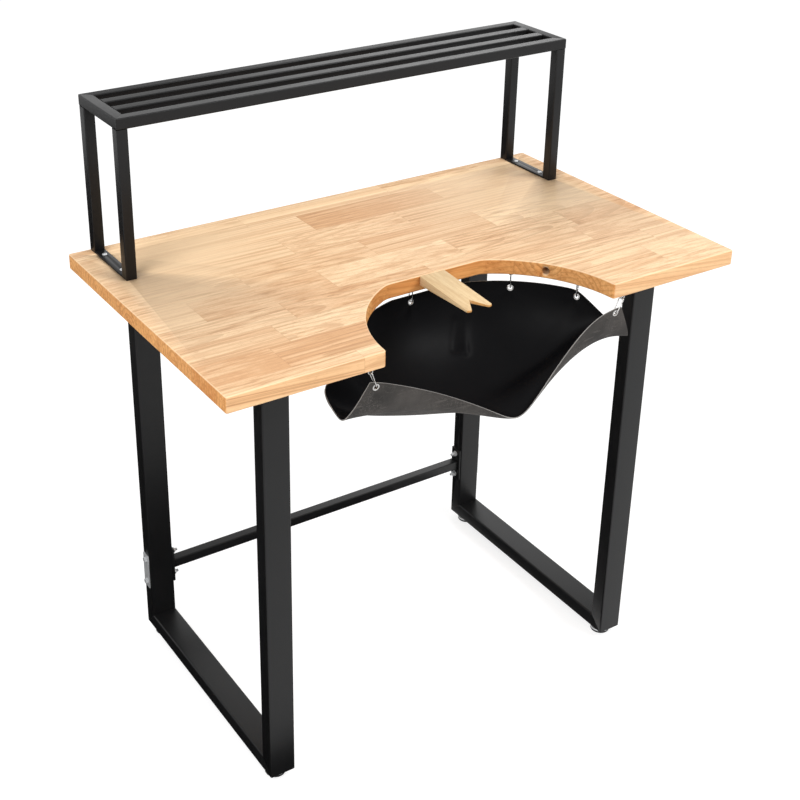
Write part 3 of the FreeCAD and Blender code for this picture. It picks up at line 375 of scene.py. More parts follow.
def board_finish():
    """Rubberwood staves glued side by side, under a thin satin lacquer."""
    shade = colours()
    finish = Finish("hardwood_top", Specular_IOR_Level=0.08)
    place = finish.axes()
    row, number, tone, joint = staves(finish, place)
    dice = finish.add("ShaderNodeTexWhiteNoise", {"Vector": finish.vector(row, number, 5.0)},
                      noise_dimensions="3D").outputs["Color"]
    dice = finish.add("ShaderNodeSeparateColor", {0: dice}).outputs
    x = finish.scaled(dice[0], 11.0, place[0])
    y = finish.plus(place[1], finish.scaled(dice[1], 5.0, -2.5))
    y = finish.minus(finish.math("PINGPONG", y, 0.11), 0.055)
    slope = finish.times(finish.scaled(dice[2], 0.26, -0.13), place[0])
    z = finish.plus(finish.plus(place[2], finish.scaled(dice[2], 0.10, -0.89)), slope)
    strength = finish.scaled(dice[1], 0.8, 0.45)
    colour, late, fine, pores = grain(
        finish, x, y, z, shade.board_pale, shade.board_warm, shade.board_vein, tone, strength)
    for knot in KNOTS:
        away = [finish.over(finish.minus(place[axis], centre * MM), reach * MM)
                for axis, (centre, reach) in enumerate(zip(knot, KNOT_REACH))]
        far = finish.root(finish.plus(*(finish.power(part, 2.0) for part in away)))
        swirl = finish.scaled(finish.math("SINE", finish.times(far, 9.0)), 0.35, 0.65)
        dark = finish.times(finish.span(far, 1.15, 0.35), swirl)
        colour = finish.mix(finish.times(dark, 0.45), colour, shade.board_vein)
    colour = finish.mix(finish.times(joint, 0.35), colour, shade.board_vein)
    across, deep, up = faces_of(finish)
    across = finish.times(finish.span(across, 0.5, 0.9), 0.20)
    colour = finish.mix(finish.times(across, late), colour, shade.board_vein)
    # The sawn ends and the cut-out wall take the sawn tint. On the cut-out wall it is partly painted shade.
    half = cad_box[1].y
    inside = finish.times(finish.span(finish.size(place[1]), half - 0.4 * MM, half - 1.5 * MM),
                          finish.span(up, 0.75, 0.25))
    colour = finish.multiplied(inside, colour, shade.sawn_tint_and_shade)
    # Painted shade: faces toward the front or rear are darkened with the same tint.
    front = finish.times(finish.span(deep, 0.5, 0.9), 0.42)
    colour = finish.multiplied(front, colour, shade.sawn_tint_and_shade)
    # Painted shade: the wall of the socket's hole is drawn dark.
    bore = finish.times(in_socket(finish), 0.55)
    colour = finish.mix(bore, colour, shade.bore)
    # Painted highlight: the rounded top edges of the board are drawn paler, as if they caught the light.
    painted_edge_highlight = finish.times(finish.span(up, 0.20, 0.45), finish.span(up, 0.99, 0.85))
    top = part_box("benchtop")[1].z
    painted_edge_highlight = finish.times(painted_edge_highlight, finish.span(place[2], top - 3.5 * MM, top - 2.5 * MM))
    colour = finish.mix(finish.times(painted_edge_highlight, 0.55), colour, shade.board_pale)
    finish.set("Base Color", colour)
    rough = finish.scaled(pores, 0.16, 0.42)
    finish.rough(fine, 0.12, rough)
    relief = finish.minus(fine, finish.plus(pores, finish.times(joint, 0.8)))
    finish.bump(relief, 0.00016, 0.55)
    return finish


# Centres of the small knots, and how far each reaches along and across, in millimetres.
KNOTS = ((-290, -25), (-192, 272))
KNOT_REACH = (24, 9)
SOCKET = next(mount for mount in frame["record"]["mounts"] if mount["name"] == "accessory_socket")


def in_socket(finish):
    """1 for the drilled wall of the socket, which is drawn dark as painted shade, and 0 elsewhere."""
    def combined(operation, first, second, output=0):
        inputs = {0: first} if second is None else {0: first, 1: second}
        return finish.add("ShaderNodeVectorMath", inputs, operation=operation).outputs[output]

    away = combined("SUBTRACT", finish.where, SOCKET["pos_m"])
    beside = combined("CROSS_PRODUCT", away, SOCKET["axis"])
    beside = combined("LENGTH", beside, None, "Value")
    deeper = combined("DOT_PRODUCT", away, SOCKET["axis"], "Value")
    inside = finish.times(finish.span(beside, 0.0074, 0.0071), finish.span(deeper, 0.0, -0.004))
    return finish.times(inside, finish.span(deeper, -0.060, -0.056))


def pin_finish():
    """Bare pale wood with its fibres along the bench pin."""
    shade = colours()
    finish = Finish("hardwood_pin", Specular_IOR_Level=0.25)
    place = finish.axes()
    x = finish.plus(place[1], 4.3)
    y = finish.plus(place[0], 0.055)
    z = finish.plus(place[2], -0.79)
    colour, _, fine, pores = grain(
        finish, x, y, z, shade.pin_pale, shade.pin_warm, shade.board_vein, 0.0, 0.35)
    _, deep, up = faces_of(finish)
    notch = finish.times(finish.span(place[1], -0.205, -0.215), finish.span(deep, 0.2, 0.5))
    sawn = finish.mix(1.0, finish.mix(0.45, colour, shade.pin_warm), shade.sawn_tint_and_shade, "MULTIPLY")
    colour = finish.mix(finish.times(notch, finish.span(up, 0.8, 0.4)), colour, sawn)
    finish.set("Base Color", colour)
    finish.rough(fine, 0.14, 0.52)
    finish.bump(finish.minus(fine, pores), 0.00018, 0.6)
    return finish


def coat_finish():
    """Black powder coat with a fine orange-peel grain."""
    finish, cloud = clouded("powder_coat", (14.0, 3.0), 0.78, 1.25, Specular_IOR_Level=0.26)
    peel = finish.noise(finish.where, 1.0 / sizes().coat_grain, 3.0, 0.55)
    scuffs = finish.streaks((60.0, 60.0, 11.0), 4.0, 0.7)
    rough = finish.scaled(cloud, 0.10, 0.33)
    finish.rough(finish.span(scuffs, 0.62, 0.8), 0.12, rough)
    finish.bump(peel, 0.00011, 0.55)
    return finish


def clouded(name, cloud, dark, light, shade=None, **constants):
    """A finish of one shade, made uneven by a cloud of noise."""
    finish = Finish(name, **constants)
    cloud = finish.noise(finish.where, *cloud)
    finish.tint(cloud, Vector(getattr(colours(), shade or name)), dark, light)
    return finish, cloud


def metal_finish(name, shade, rough, streaks, depth, metallic=1.0):
    """Bare or plated metal with a slightly uneven shine."""
    finish, _ = clouded(name, (160.0, 4.0, 0.6), 0.80, 1.12, shade, Metallic=metallic)
    lines = finish.noise(finish.where, streaks, 3.0, 0.6)
    finish.rough(lines, rough * 0.7, rough * 0.7)
    finish.bump(lines, depth, 0.4)
    return finish


def zinc_finish():
    return metal_finish("zinc_plated_steel", "zinc", 0.36, 900.0, 0.00006, 0.55)


def nickel_finish():
    return metal_finish("nickel_wire", "nickel", 0.16, 1500.0, 0.00003)


def plastic_finish():
    """Moulded black plastic with a matt texture."""
    finish, cloud = clouded("black_plastic", (60.0, 3.0), 0.8, 1.3, "plastic",
                            Specular_IOR_Level=0.4)
    finish.rough(cloud, 0.15, 0.5)
    finish.bump(finish.noise(finish.where, 1800.0, 2.0), 0.00008, 0.6)
    return finish


def leather_finish():
    """Smooth black leather with a fine pebbled grain."""
    finish, _ = clouded("leather", (9.0, 4.0, 0.6), 0.75, 1.35, Specular_IOR_Level=0.05)
    pebbles = finish.add("ShaderNodeTexVoronoi", {"Vector": finish.where, "Scale": 900.0},
                         feature="SMOOTH_F1").outputs["Distance"]
    wear = finish.noise(finish.where, 45.0, 5.0, 0.65)
    finish.rough(wear, 0.16, 0.36)
    soft = finish.bump(wear, 0.0006, 0.35)
    finish.bump(pebbles, 0.00012, 0.35, soft)
    return finish


# How much darker the suede is between its fibres.
NAP_SHADE = (0.66, 0.66, 0.66)


def suede_finish():
    """Grey flesh side of the leather, brushed and unevenly dark."""
    finish = Finish("suede", Specular_IOR_Level=0.10, Sheen_Weight=0.10, Sheen_Roughness=0.6)
    shade = Vector(colours().suede)
    patches = finish.noise(finish.where, 11.0, 5.0, 0.62)
    nap = finish.noise(finish.where, 520.0, 4.0, 0.7)
    colour = finish.mix(finish.span(patches, 0.30, 0.70), shade * 0.50, shade * 1.45)
    scratch = finish.streaks((30.0, 30.0, 160.0), 4.0, 0.6)
    colour = finish.mix(finish.times(finish.span(scratch, 0.56, 0.70), 0.6), colour, shade * 2.2)
    dust = finish.noise(finish.where, 16.0, 3.0, 0.6)
    flecks = finish.times(finish.span(finish.noise(finish.where, 420.0, 3.0, 0.7), 0.50, 0.66),
                         finish.span(dust, 0.42, 0.60))
    colour = finish.mix(finish.times(flecks, 0.75), colour, shade * 2.6)
    finish.set("Base Color", finish.multiplied(nap, colour, NAP_SHADE))
    finish.rough(nap, 0.1, 0.86)
    finish.bump(nap, 0.0004, 0.7)
    return finish


def edge_finish():
    """Fibrous cut edge of the leather."""
    finish, fibres = clouded("leather_cut_edge", (1400.0, 3.0, 0.7), 0.6, 1.5, "cut_edge",
                             Specular_IOR_Level=0.15)
    finish.rough(fibres, 0.1, 0.8)
    finish.bump(fibres, 0.0003, 0.6)
    return finish


FINISHES = {
    "hardwood_top": board_finish,
    "hardwood_pin": pin_finish,
    "powder_coat": coat_finish,
    "zinc_plated_steel": zinc_finish,
    "nickel_wire": nickel_finish,
    "black_plastic": plastic_finish,
    "leather": leather_finish,
    "suede": suede_finish,
    "leather_cut_edge": edge_finish,
}


# --- mesh helpers
def new_object(name, mesh):
    piece = bpy.data.objects.new(name, mesh)
    bpy.context.scene.collection.objects.link(piece)
    return piece


def mesh_of(points, faces, name="shape"):
    mesh = bpy.data.meshes.new(name)
    mesh.from_pydata([tuple(point) for point in points], [], faces)
    mesh.update()
    return mesh


def drop(piece):
    bpy.data.objects.remove(piece, do_unlink=True)


def baked(piece):
    """Turn the piece's modifiers into its plain mesh."""
    bpy.context.view_layer.update()
    graph = bpy.context.evaluated_depsgraph_get()
    mesh = bpy.data.meshes.new_from_object(piece.evaluated_get(graph))
    piece.modifiers.clear()
    piece.data = mesh
    mesh.name = piece.name
    return piece


def smooth(mesh, degrees=32.0):
    """Shade smooth, with edges sharper than an angle kept crisp."""
    mesh.polygons.foreach_set("use_smooth", [True] * len(mesh.polygons))
    mesh.set_sharp_from_angle(angle=math.radians(degrees))


def welded(node):
    """A closed copy of a CAD node's mesh."""
    shape = bmesh.new()
    shape.from_mesh(frame["nodes"][node].data)
    bmesh.ops.remove_doubles(shape, verts=shape.verts, dist=0.000002)
    return shape


def lumps(node):
    """The points of each separate solid of a CAD node.

    Solids and points are sorted by place, because a set of vertices has another order in each
    run, and the puckers of the leather count the eyelets in this order.
    """
    shape = welded(node)
    left, found = set(shape.verts), []
    while left:
        group, edge = set(), [left.pop()]
        while edge:
            vertex = edge.pop()
            group.add(vertex)
            for link in vertex.link_edges:
                other = link.other_vert(vertex)
                if other in left:
                    left.discard(other)
                    edge.append(other)
        found.append(np.array(sorted(tuple(vertex.co) for vertex in group)))
    shape.free()
    return sorted(found, key=lambda points: tuple(points.mean(0).round(6)))


def box_of(points):
    return Vector(points.min(0)), Vector(points.max(0))


# Angles in degrees: faces flat within the first are merged, and edges from the second softened.
FLAT_WITHIN, EDGE_FROM = 0.4, 40


def as_mesh(shape, name):
    """A mesh from a bmesh, which is freed."""
    mesh = bpy.data.meshes.new(name)
    shape.to_mesh(mesh)
    shape.free()
    return mesh


def centred(low, high, x=None, z=None):
    """The middle of a box, or the point beside it at a given x or z."""
    middle = [(first + last) / 2 for first, last in zip(low, high)]
    return Vector((middle[0] if x is None else x, middle[1], middle[2] if z is None else z))


def softened(node, finish, width, name=None):
    """The CAD node's shape with its cut edges softened, standing for the node."""
    shape = welded(node)
    bmesh.ops.dissolve_limit(shape, angle_limit=math.radians(FLAT_WITHIN), verts=shape.verts,
                             edges=shape.edges)
    mesh = as_mesh(shape, name or f"{node}_finish")
    piece = new_object(mesh.name, mesh)
    bevel = piece.modifiers.new("Edges", "BEVEL")
    bevel.width = width
    bevel.segments = 2
    bevel.limit_method = "ANGLE"
    bevel.angle_limit = math.radians(EDGE_FROM)
    baked(piece)
    smooth(piece.data)
    piece.data.materials.clear()
    piece.data.materials.append(material(finish))
    return settle(piece, node)


def settle(piece, *nodes):
    """Let the piece ride with the body of the CAD nodes that it stands for."""
    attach(piece, BODY_OF[nodes[0]])
    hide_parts(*nodes)
    return piece


def turned(profile, segments=48, closed=False):
    """A mesh turned about Z from a profile of (radius, height) in millimetres."""
    points, faces, rings = [], [], []
    for radius, height in profile:
        if radius < 1e-6:
            rings.append([len(points)])
            points.append((0, 0, height * MM))
            continue
        rings.append(range(len(points), len(points) + segments))
        for step in range(segments):
            angle = 2 * math.pi * step / segments
            x, y = radius * MM * math.cos(angle), radius * MM * math.sin(angle)
            points.append((x, y, height * MM))
    pairs = list(zip(rings, rings[1:])) + ([(rings[-1], rings[0])] if closed else [])
    for low, high in pairs:
        for step in range(segments):
            following = (step + 1) % segments
            if len(low) == 1:
                faces.append((low[0], high[following], high[step]))
            elif len(high) == 1:
                faces.append((low[step], low[following], high[0]))
            else:
                faces.append((low[step], low[following], high[following], high[step]))
    mesh = mesh_of(points, faces)
    outward(mesh)
    return mesh


def outward(mesh):
    """Point every face of a closed mesh outwards."""
    shape = bmesh.new()
    shape.from_mesh(mesh)
    bmesh.ops.remove_doubles(shape, verts=shape.verts, dist=1e-7)
    bmesh.ops.recalc_face_normals(shape, faces=shape.faces)
    shape.to_mesh(mesh)
    shape.free()


def carved(mesh, tools, operation="DIFFERENCE"):
    """The mesh after cutting away, or keeping only, what the tools cover."""
    piece = new_object("carved", mesh)
    cutters = [new_object("tool", tool) for tool in tools]
    for cutter in cutters:
        boolean = piece.modifiers.new("Cut", "BOOLEAN")
        boolean.operation = operation
        boolean.solver = "EXACT"
        boolean.object = cutter
    mesh = baked(piece).data
    for extra in (piece, *cutters):
        drop(extra)
    return mesh


# --- geometry nodes
def new_tree(name, inputs):
    """An empty modifier tree with a geometry input, named inputs and a geometry output."""
    tree = bpy.data.node_groups.new(name, "GeometryNodeTree")
    tree.is_modifier = True
    tree.interface.new_socket("Geometry", in_out="INPUT", socket_type="NodeSocketGeometry")
    for label, kind, value in inputs:
        socket = tree.interface.new_socket(label, in_out="INPUT", socket_type=f"NodeSocket{kind}")
        if value is not None:
            socket.default_value = value
    tree.interface.new_socket("Geometry", in_out="OUTPUT", socket_type="NodeSocketGeometry")
    nodes = Tree(tree)
    return nodes, nodes.add("NodeGroupInput").outputs, nodes.add("NodeGroupOutput").inputs


def close_tree(nodes, geometry, paint, out):
    """End the tree with plain faces in one material."""
    real = nodes.out("GeometryNodeRealizeInstances", {"Geometry": geometry})
    shaded = nodes.out("GeometryNodeSetMaterial", {"Geometry": real, "Material": paint})
    nodes.tree.links.new(shaded, out[0])


def repeat_tree():
    """Copies of one piece at marked places, each along its own axis with a random turn."""
    nodes, given, out = new_tree("Repeated piece", [
        ("Piece", "Object", None), ("Material", "Material", None),
        ("Most turn", "Float", math.pi), ("Seed", "Int", 7)])
    points = nodes.out("GeometryNodeMeshToPoints", {"Mesh": given["Geometry"]})
    axis = nodes.add("GeometryNodeInputNamedAttribute", {"Name": "axis"}, data_type="FLOAT_VECTOR")
    aligned = nodes.add("FunctionNodeAlignRotationToVector", {"Vector": axis.outputs[0]}, axis="Z")
    turn = nodes.add("FunctionNodeRandomValue", {"Seed": given["Seed"]}, data_type="FLOAT")
    nodes.tree.links.new(given["Most turn"], turn.inputs[3])
    spin = nodes.out("FunctionNodeAxisAngleToRotation",
                     {"Axis": (0.0, 0.0, 1.0), "Angle": turn.outputs[1]})
    both = nodes.add("FunctionNodeRotateRotation",
                     {"Rotation": aligned.outputs[0], "Rotate By": spin}, rotation_space="LOCAL")
    source = nodes.add("GeometryNodeObjectInfo", {"Object": given["Piece"]})
    copies = nodes.out("GeometryNodeInstanceOnPoints", {
        "Points": points, "Instance": source.outputs["Geometry"],
        "Rotation": both.outputs[0]})
    close_tree(nodes, copies, given["Material"], out)
    return nodes.tree


def wire_tree():
    """Round wire along the piece's edges, with its ends closed."""
    nodes, given, out = new_tree("Bent wire", [
        ("Wire radius", "Float", 1.0 * MM), ("Sides", "Int", 16), ("Material", "Material", None)])
    path = nodes.out("GeometryNodeMeshToCurve", {"Mesh": given["Geometry"]})
    profile = nodes.out("GeometryNodeCurvePrimitiveCircle",
                        {"Resolution": given["Sides"], "Radius": given["Wire radius"]})
    wire = nodes.out("GeometryNodeCurveToMesh",
                     {"Curve": path, "Profile Curve": profile, "Fill Caps": True})
    close_tree(nodes, wire, given["Material"], out)
    return nodes.tree


def thread_tree():
    """A screw thread round Z: a three-sided ridge along a spiral, on a round core."""
    nodes, given, out = new_tree("Thread", [
        ("Radius", "Float", 4 * MM), ("Pitch", "Float", 1.25 * MM), ("Length", "Float", 30 * MM),
        ("Material", "Material", None)])
    depth = nodes.times(given["Pitch"], 0.52)
    climb = nodes.minus(given["Length"], depth)
    turns = nodes.over(climb, given["Pitch"])
    core = nodes.minus(given["Radius"], depth)
    spiral = nodes.out("GeometryNodeCurveSpiral", {
        "Resolution": 28, "Rotations": turns, "Start Radius": core, "End Radius": core,
        "Height": climb})
    ridge = nodes.out("GeometryNodeCurvePrimitiveCircle",
                      {"Resolution": 3, "Radius": depth})
    thread = nodes.out("GeometryNodeCurveToMesh",
                       {"Curve": spiral, "Profile Curve": ridge, "Fill Caps": True})
    rod = nodes.out("GeometryNodeMeshCylinder", {
        "Vertices": 32, "Radius": nodes.scaled(depth, 0.2, core),
        "Depth": given["Length"]})
    lift = nodes.vector(0.0, 0.0, nodes.times(given["Length"], 0.5))
    rod = nodes.out("GeometryNodeTransform", {"Geometry": rod, "Translation": lift})
    both = nodes.add("GeometryNodeJoinGeometry")
    for part in (rod, thread):
        nodes.tree.links.new(part, both.inputs[0])
    close_tree(nodes, both.outputs[0], given["Material"], out)
    return nodes.tree


TREES = {}


def grown(name, mesh, maker, **inputs):
    """A piece that a tree makes from a mesh, turned into plain faces."""
    if maker not in TREES:
        TREES[maker] = maker()
    tree = TREES[maker]
    piece = new_object(name, mesh)
    modifier = piece.modifiers.new("Pieces", "NODES")
    modifier.node_group = tree
    for label, value in inputs.items():
        label = label.replace("_", " ")
        socket = next(item for item in tree.interface.items_tree
                      if item.name == label and item.in_out == "INPUT")
        modifier[socket.identifier] = value
    return baked(piece)


def repeated(name, pattern, spots, finish, most_turn=math.pi):
    """Copies of a pattern mesh at spots, each a (place, axis) pair."""
    smooth(pattern)
    source = new_object("pattern", pattern)
    marks = mesh_of([place for place, _ in spots], [])
    axes = marks.attributes.new("axis", "FLOAT_VECTOR", "POINT")
    axes.data.foreach_set("vector", [part for _, axis in spots for part in axis])
    piece = grown(name, marks, repeat_tree, Piece=source, Material=material(finish),
                  Most_turn=most_turn)
    drop(source)
    return piece


def fasten(node, name, pattern, spots, most_turn=math.pi):
    """Copies of one piece that stand for a node, in its own finish."""
    settle(repeated(name, pattern, spots, SLOT_OF[node], most_turn), node)


def join(name, *pieces):
    """One piece from several, with their materials kept."""
    shape = bmesh.new()
    paints = []
    for piece in pieces:
        start = len(shape.faces)
        shape.from_mesh(piece.data)
        shape.faces.ensure_lookup_table()
        for face in shape.faces[start:]:
            paint = piece.data.materials[face.material_index]
            if paint not in paints:
                paints.append(paint)
            face.material_index = paints.index(paint)
    mesh = as_mesh(shape, name)
    for paint in paints:
        mesh.materials.append(paint)
    for piece in pieces:
        drop(piece)
    return new_object(name, mesh)


# --- fastener patterns
def cross_recess(reach, depth, top):
    """Two crossed tapered blades for a driver, from the top of a head."""
    blades = []
    for turn in (0, math.pi / 2):
        wide, thin = (reach, 0.55) if turn == 0 else (0.55, reach)
        points = []
        for height, share in ((top - depth, 0.35), (top + 1, 1.15)):
            for x, y in ((-1, -1), (1, -1), (1, 1), (-1, 1)):
                x_size = wide * (share if wide > thin else 0.8 + 0.2 * share)
                y_size = thin * (share if thin > wide else 0.8 + 0.2 * share)
                points.append((x * x_size * MM, y * y_size * MM, height * MM))
        faces = [(3, 2, 1, 0), (4, 5, 6, 7)]
        faces += [(low, (low + 1) % 4, (low + 1) % 4 + 4, low + 4) for low in range(4)]
        blades.append(mesh_of(points, faces))
    return blades


# Climb of a wood screw's thread in millimetres.
SCREW_PITCH = 1.6


def pan_head(radius, height, shank, bite):
    """A domed screw head with a cross recess, on a threaded shank below it."""
    dome = [(0, height)]
    for step in range(1, 9):
        angle = math.radians(step * 90 / 8)
        bulge = math.sin(angle) ** 0.75
        dome.append((radius * bulge, height * (0.22 + 0.78 * math.cos(angle) ** 0.9)))
    profile = dome + [(radius * 0.985, 0.0), (shank * 0.85, 0.0)]
    for ridge in range(int(bite / SCREW_PITCH)):
        low = -0.8 - ridge * SCREW_PITCH
        profile += [(shank * 0.72, low), (shank, low - 0.6), (shank * 0.72, low - 1.0)]
    profile += [(0, -bite)]
    return carved(turned(profile, 40), cross_recess(radius * 0.55, height * 0.72, height))


def hex_block(flats, height, bore=0.0, chamfer_both=False):
    """A hexagonal head or nut with its corners chamfered, from 0 up to its height."""
    corner = flats / 2 / math.cos(math.pi / 6)
    block = turned([(0, 0), (corner, 0), (corner, height), (0, height)], 6)
    top = flats / 2 * 0.97
    slope = math.tan(math.radians(60))
    spread = top + slope * height / 2
    low = top if chamfer_both else corner + 1
    waist = spread if chamfer_both else corner + 1
    cone = [(0, 0), (low, 0), (waist, height / 2), (top, height), (0, height)]
    block = carved(block, [turned(cone, 64)], "INTERSECT")
    if bore:
        drill = [(0, -1), (bore, -1), (bore, height + 1), (0, height + 1)]
        block = carved(block, [turned(drill, 48)])
    return block


def hex_bolt(flats, head, shank, reach, pitch):
    """A hexagon head above 0 with a threaded shank below it."""
    bolt = new_object("bolt", hex_block(flats, head))
    flange = [(0, 0.0), (flats * 0.47, 0.0), (flats * 0.47, 0.3), (0, 0.3)]
    collar = new_object("collar", turned(flange, 48))
    profile = [(0, 0.05), (shank * 0.98, 0.05), (shank * 0.98, -reach * 0.35)]
    low = -reach * 0.35
    while low - pitch > -reach + 0.8:
        profile += [(shank * 0.84, low - pitch * 0.2), (shank * 0.99, low - pitch * 0.7)]
        low -= pitch
    profile += [(shank * 0.78, -reach), (0, -reach)]
    rod = new_object("rod", turned(profile, 32))
    for part in (bolt, collar, rod):
        part.data.materials.append(material("zinc_plated_steel"))
    whole = join("bolt_pattern", bolt, collar, rod)
    mesh = whole.data
    drop(whole)
    return mesh


# --- leather shape
class Drape:
    """The leather's hanging shape: U-shaped ribs from rim to rim, a V at the front."""

    ROWS, COLUMNS = 24, 25

    RIM, FRONT, REAR = 809.1, -293.5, -68.0
    CENTRE_Y, REACH, WIDEN = -308.0, 248.0, 1.05
    SIDE_X, SIDE_Y, CORNER_X = 236.00, -203.19, 255.86
    CORNER_DROP, SAG, SHIFT = 0.5, 161.0, 45.0
    EAR, FLARE, BULGE = 70.0, 44.0, 55.0

    def __init__(self):
        grid = []
        for row in range(self.ROWS):
            back = (row / (self.ROWS - 1)) ** 1.6
            grid.append([self.pole(2 * column / (self.COLUMNS - 1) - 1, back)
                         for column in range(self.COLUMNS)])
        self.grid = np.array(grid)

    def pole(self, across, back):
        """A point that pulls the leather to its shape, from left to right and front to back."""
        side, inward = math.sin(across * math.pi / 2), math.cos(across * math.pi / 2)
        y = self.FRONT + (self.REAR - self.FRONT) * math.sin(back * math.pi / 2)
        share = min((y - self.FRONT) / (self.SIDE_Y - self.FRONT), 1.0)
        edge = self.RIM - self.CORNER_DROP * (1 - share)
        right = 0.5 + 0.5 * side / math.sqrt(side ** 2 + 0.02)
        start = 1 - math.exp(-share / 0.045)
        bump = 1.25 * start * (1 - share) * right
        bump += start * (1 - 0.45 * share) * (1 - share ** 8) * (1 - right)
        if share < 1:
            spread = self.CORNER_X + (self.SIDE_X - self.CORNER_X) * share
            spread += self.FLARE * start * (1 - share) * right
            back_fold = (0.8 + 0.3 * share) * (1 - share ** 20)
            spread += self.BULGE * start * back_fold * (1 - right)
        else:
            spread = math.sqrt(self.REACH ** 2 - (y - self.CENTRE_Y) ** 2) * self.WIDEN
        low = self.RIM - self.SAG * max(math.cos(back * math.pi / 2), 0) ** 0.8
        blunt = (math.sqrt(side ** 2 + 0.0036) - 0.06) / (math.sqrt(1.0036) - 0.06)
        fold = (1 - blunt) ** (1.3 + 0.7 * right)
        front = edge - (edge - low) * fold - self.EAR * bump * abs(side) ** 1.25
        edge -= self.EAR * bump
        bowl = edge - max(edge - low, 0) * inward
        blend = min(max((share - 0.14) / 0.86, 0), 1)
        blend = blend ** 2 * (3 - 2 * blend)
        x = spread * side + self.SHIFT * inward ** 4 * (1 - share)
        return (x * MM, y * MM, (front + (bowl - front) * blend) * MM)

    @staticmethod
    def weights(count, places):
        """The pull of each of a spline's poles at each place from 0 to 1."""
        spans = count - 3
        knots = np.concatenate([np.zeros(3), np.arange(spans + 1) / spans, np.ones(3)])
        places = np.clip(places, 0, 1 - 1e-12)[:, None]
        pull = ((knots[:-1] <= places) & (places < knots[1:])).astype(float)
        for degree in (1, 2, 3):
            size = pull.shape[1] - 1
            left, right = knots[:size], knots[1 : size + 1]
            end = knots[degree + 1 : degree + 1 + size]
            left_gap, right_gap = knots[degree : degree + size] - left, end - right
            first = (places - left) / np.where(left_gap > 0, left_gap, 1)
            second = (end - places) / np.where(right_gap > 0, right_gap, 1)
            first, second = np.where(left_gap > 0, first, 0), np.where(right_gap > 0, second, 0)
            pull = first * pull[:, :-1] + second * pull[:, 1:]
        return pull

    def surface(self, rows, columns):
        """Points and unit normals halfway through the leather, on a fine grid."""
        back, across = np.linspace(0, 1, rows), np.linspace(0, 1, columns)
        points = np.einsum("ri,cj,ijk->rck", self.weights(self.ROWS, back),
                           self.weights(self.COLUMNS, across), self.grid)
        return points, normals(points)


def normals(points):
    """Unit normals of a grid of points, on the leather's upper side."""
    along, over = np.gradient(points, axis=0), np.gradient(points, axis=1)
    cross = np.cross(over, along)
    return cross / np.maximum(np.linalg.norm(cross, axis=2, keepdims=True), 1e-12)


def eyelet_spots():
    """Centre and axis of each eyelet, with the axis toward the inside of the apron."""
    spots = []
    for points in lumps("eyelets"):
        centre = Vector(points.mean(0))
        _, axes = np.linalg.eigh(np.cov((points - points.mean(0)).T))
        axis = Vector(axes[:, 0])
        inward = Vector((0, -0.15, centre.z)) - centre
        spots.append((centre, axis if axis.dot(inward) > 0 else -axis))
    return spots


def nearest_spot(place, spots):
    return min(spots, key=lambda spot: (spot[0] - place).length)


# --- operators
class BENCH_OT_board(bpy.types.Operator):
    """Make the hardwood benchtop"""

    bl_idname = "bench.board"
    bl_label = "Benchtop"

    def execute(self, context):
        mesh = as_mesh(welded("benchtop"), "benchtop_wood")
        piece = new_object("benchtop_wood", mesh)
        smooth(mesh, 30)
        mesh.materials.clear()
        mesh.materials.append(material("hardwood_top"))
        settle(piece, "benchtop")
        return {"FINISHED"}


class BENCH_OT_pin(bpy.types.Operator):
    """Make the bench pin"""

    bl_idname = "bench.pin"
    bl_label = "Bench pin"

    def execute(self, context):
        softened("bench_pin", "hardwood_pin", sizes().wood_edge, "bench_pin_wood")
        return {"FINISHED"}


class BENCH_OT_steel(bpy.types.Operator):
    """Coat the leg frames, the stretcher and the rack"""

    bl_idname = "bench.steel"
    bl_label = "Coated steel"

    def execute(self, context):
        for node, slot in SLOT_OF.items():
            if slot == "powder_coat":
                softened(node, slot, sizes().steel_edge)
        return {"FINISHED"}


class BENCH_OT_straps(bpy.types.Operator):
    """Plate the straps on the rear legs"""

    bl_idname = "bench.straps"
    bl_label = "Straps"

    def execute(self, context):
        for node in ("left_leg_strap", "right_leg_strap"):
            softened(node, SLOT_OF[node], sizes().steel_edge)
        return {"FINISHED"}


# Heights of the frame bolts' and the wood screws' heads in millimetres.
BOLT_HEAD, SCREW_HEAD = 4.0, 2.5


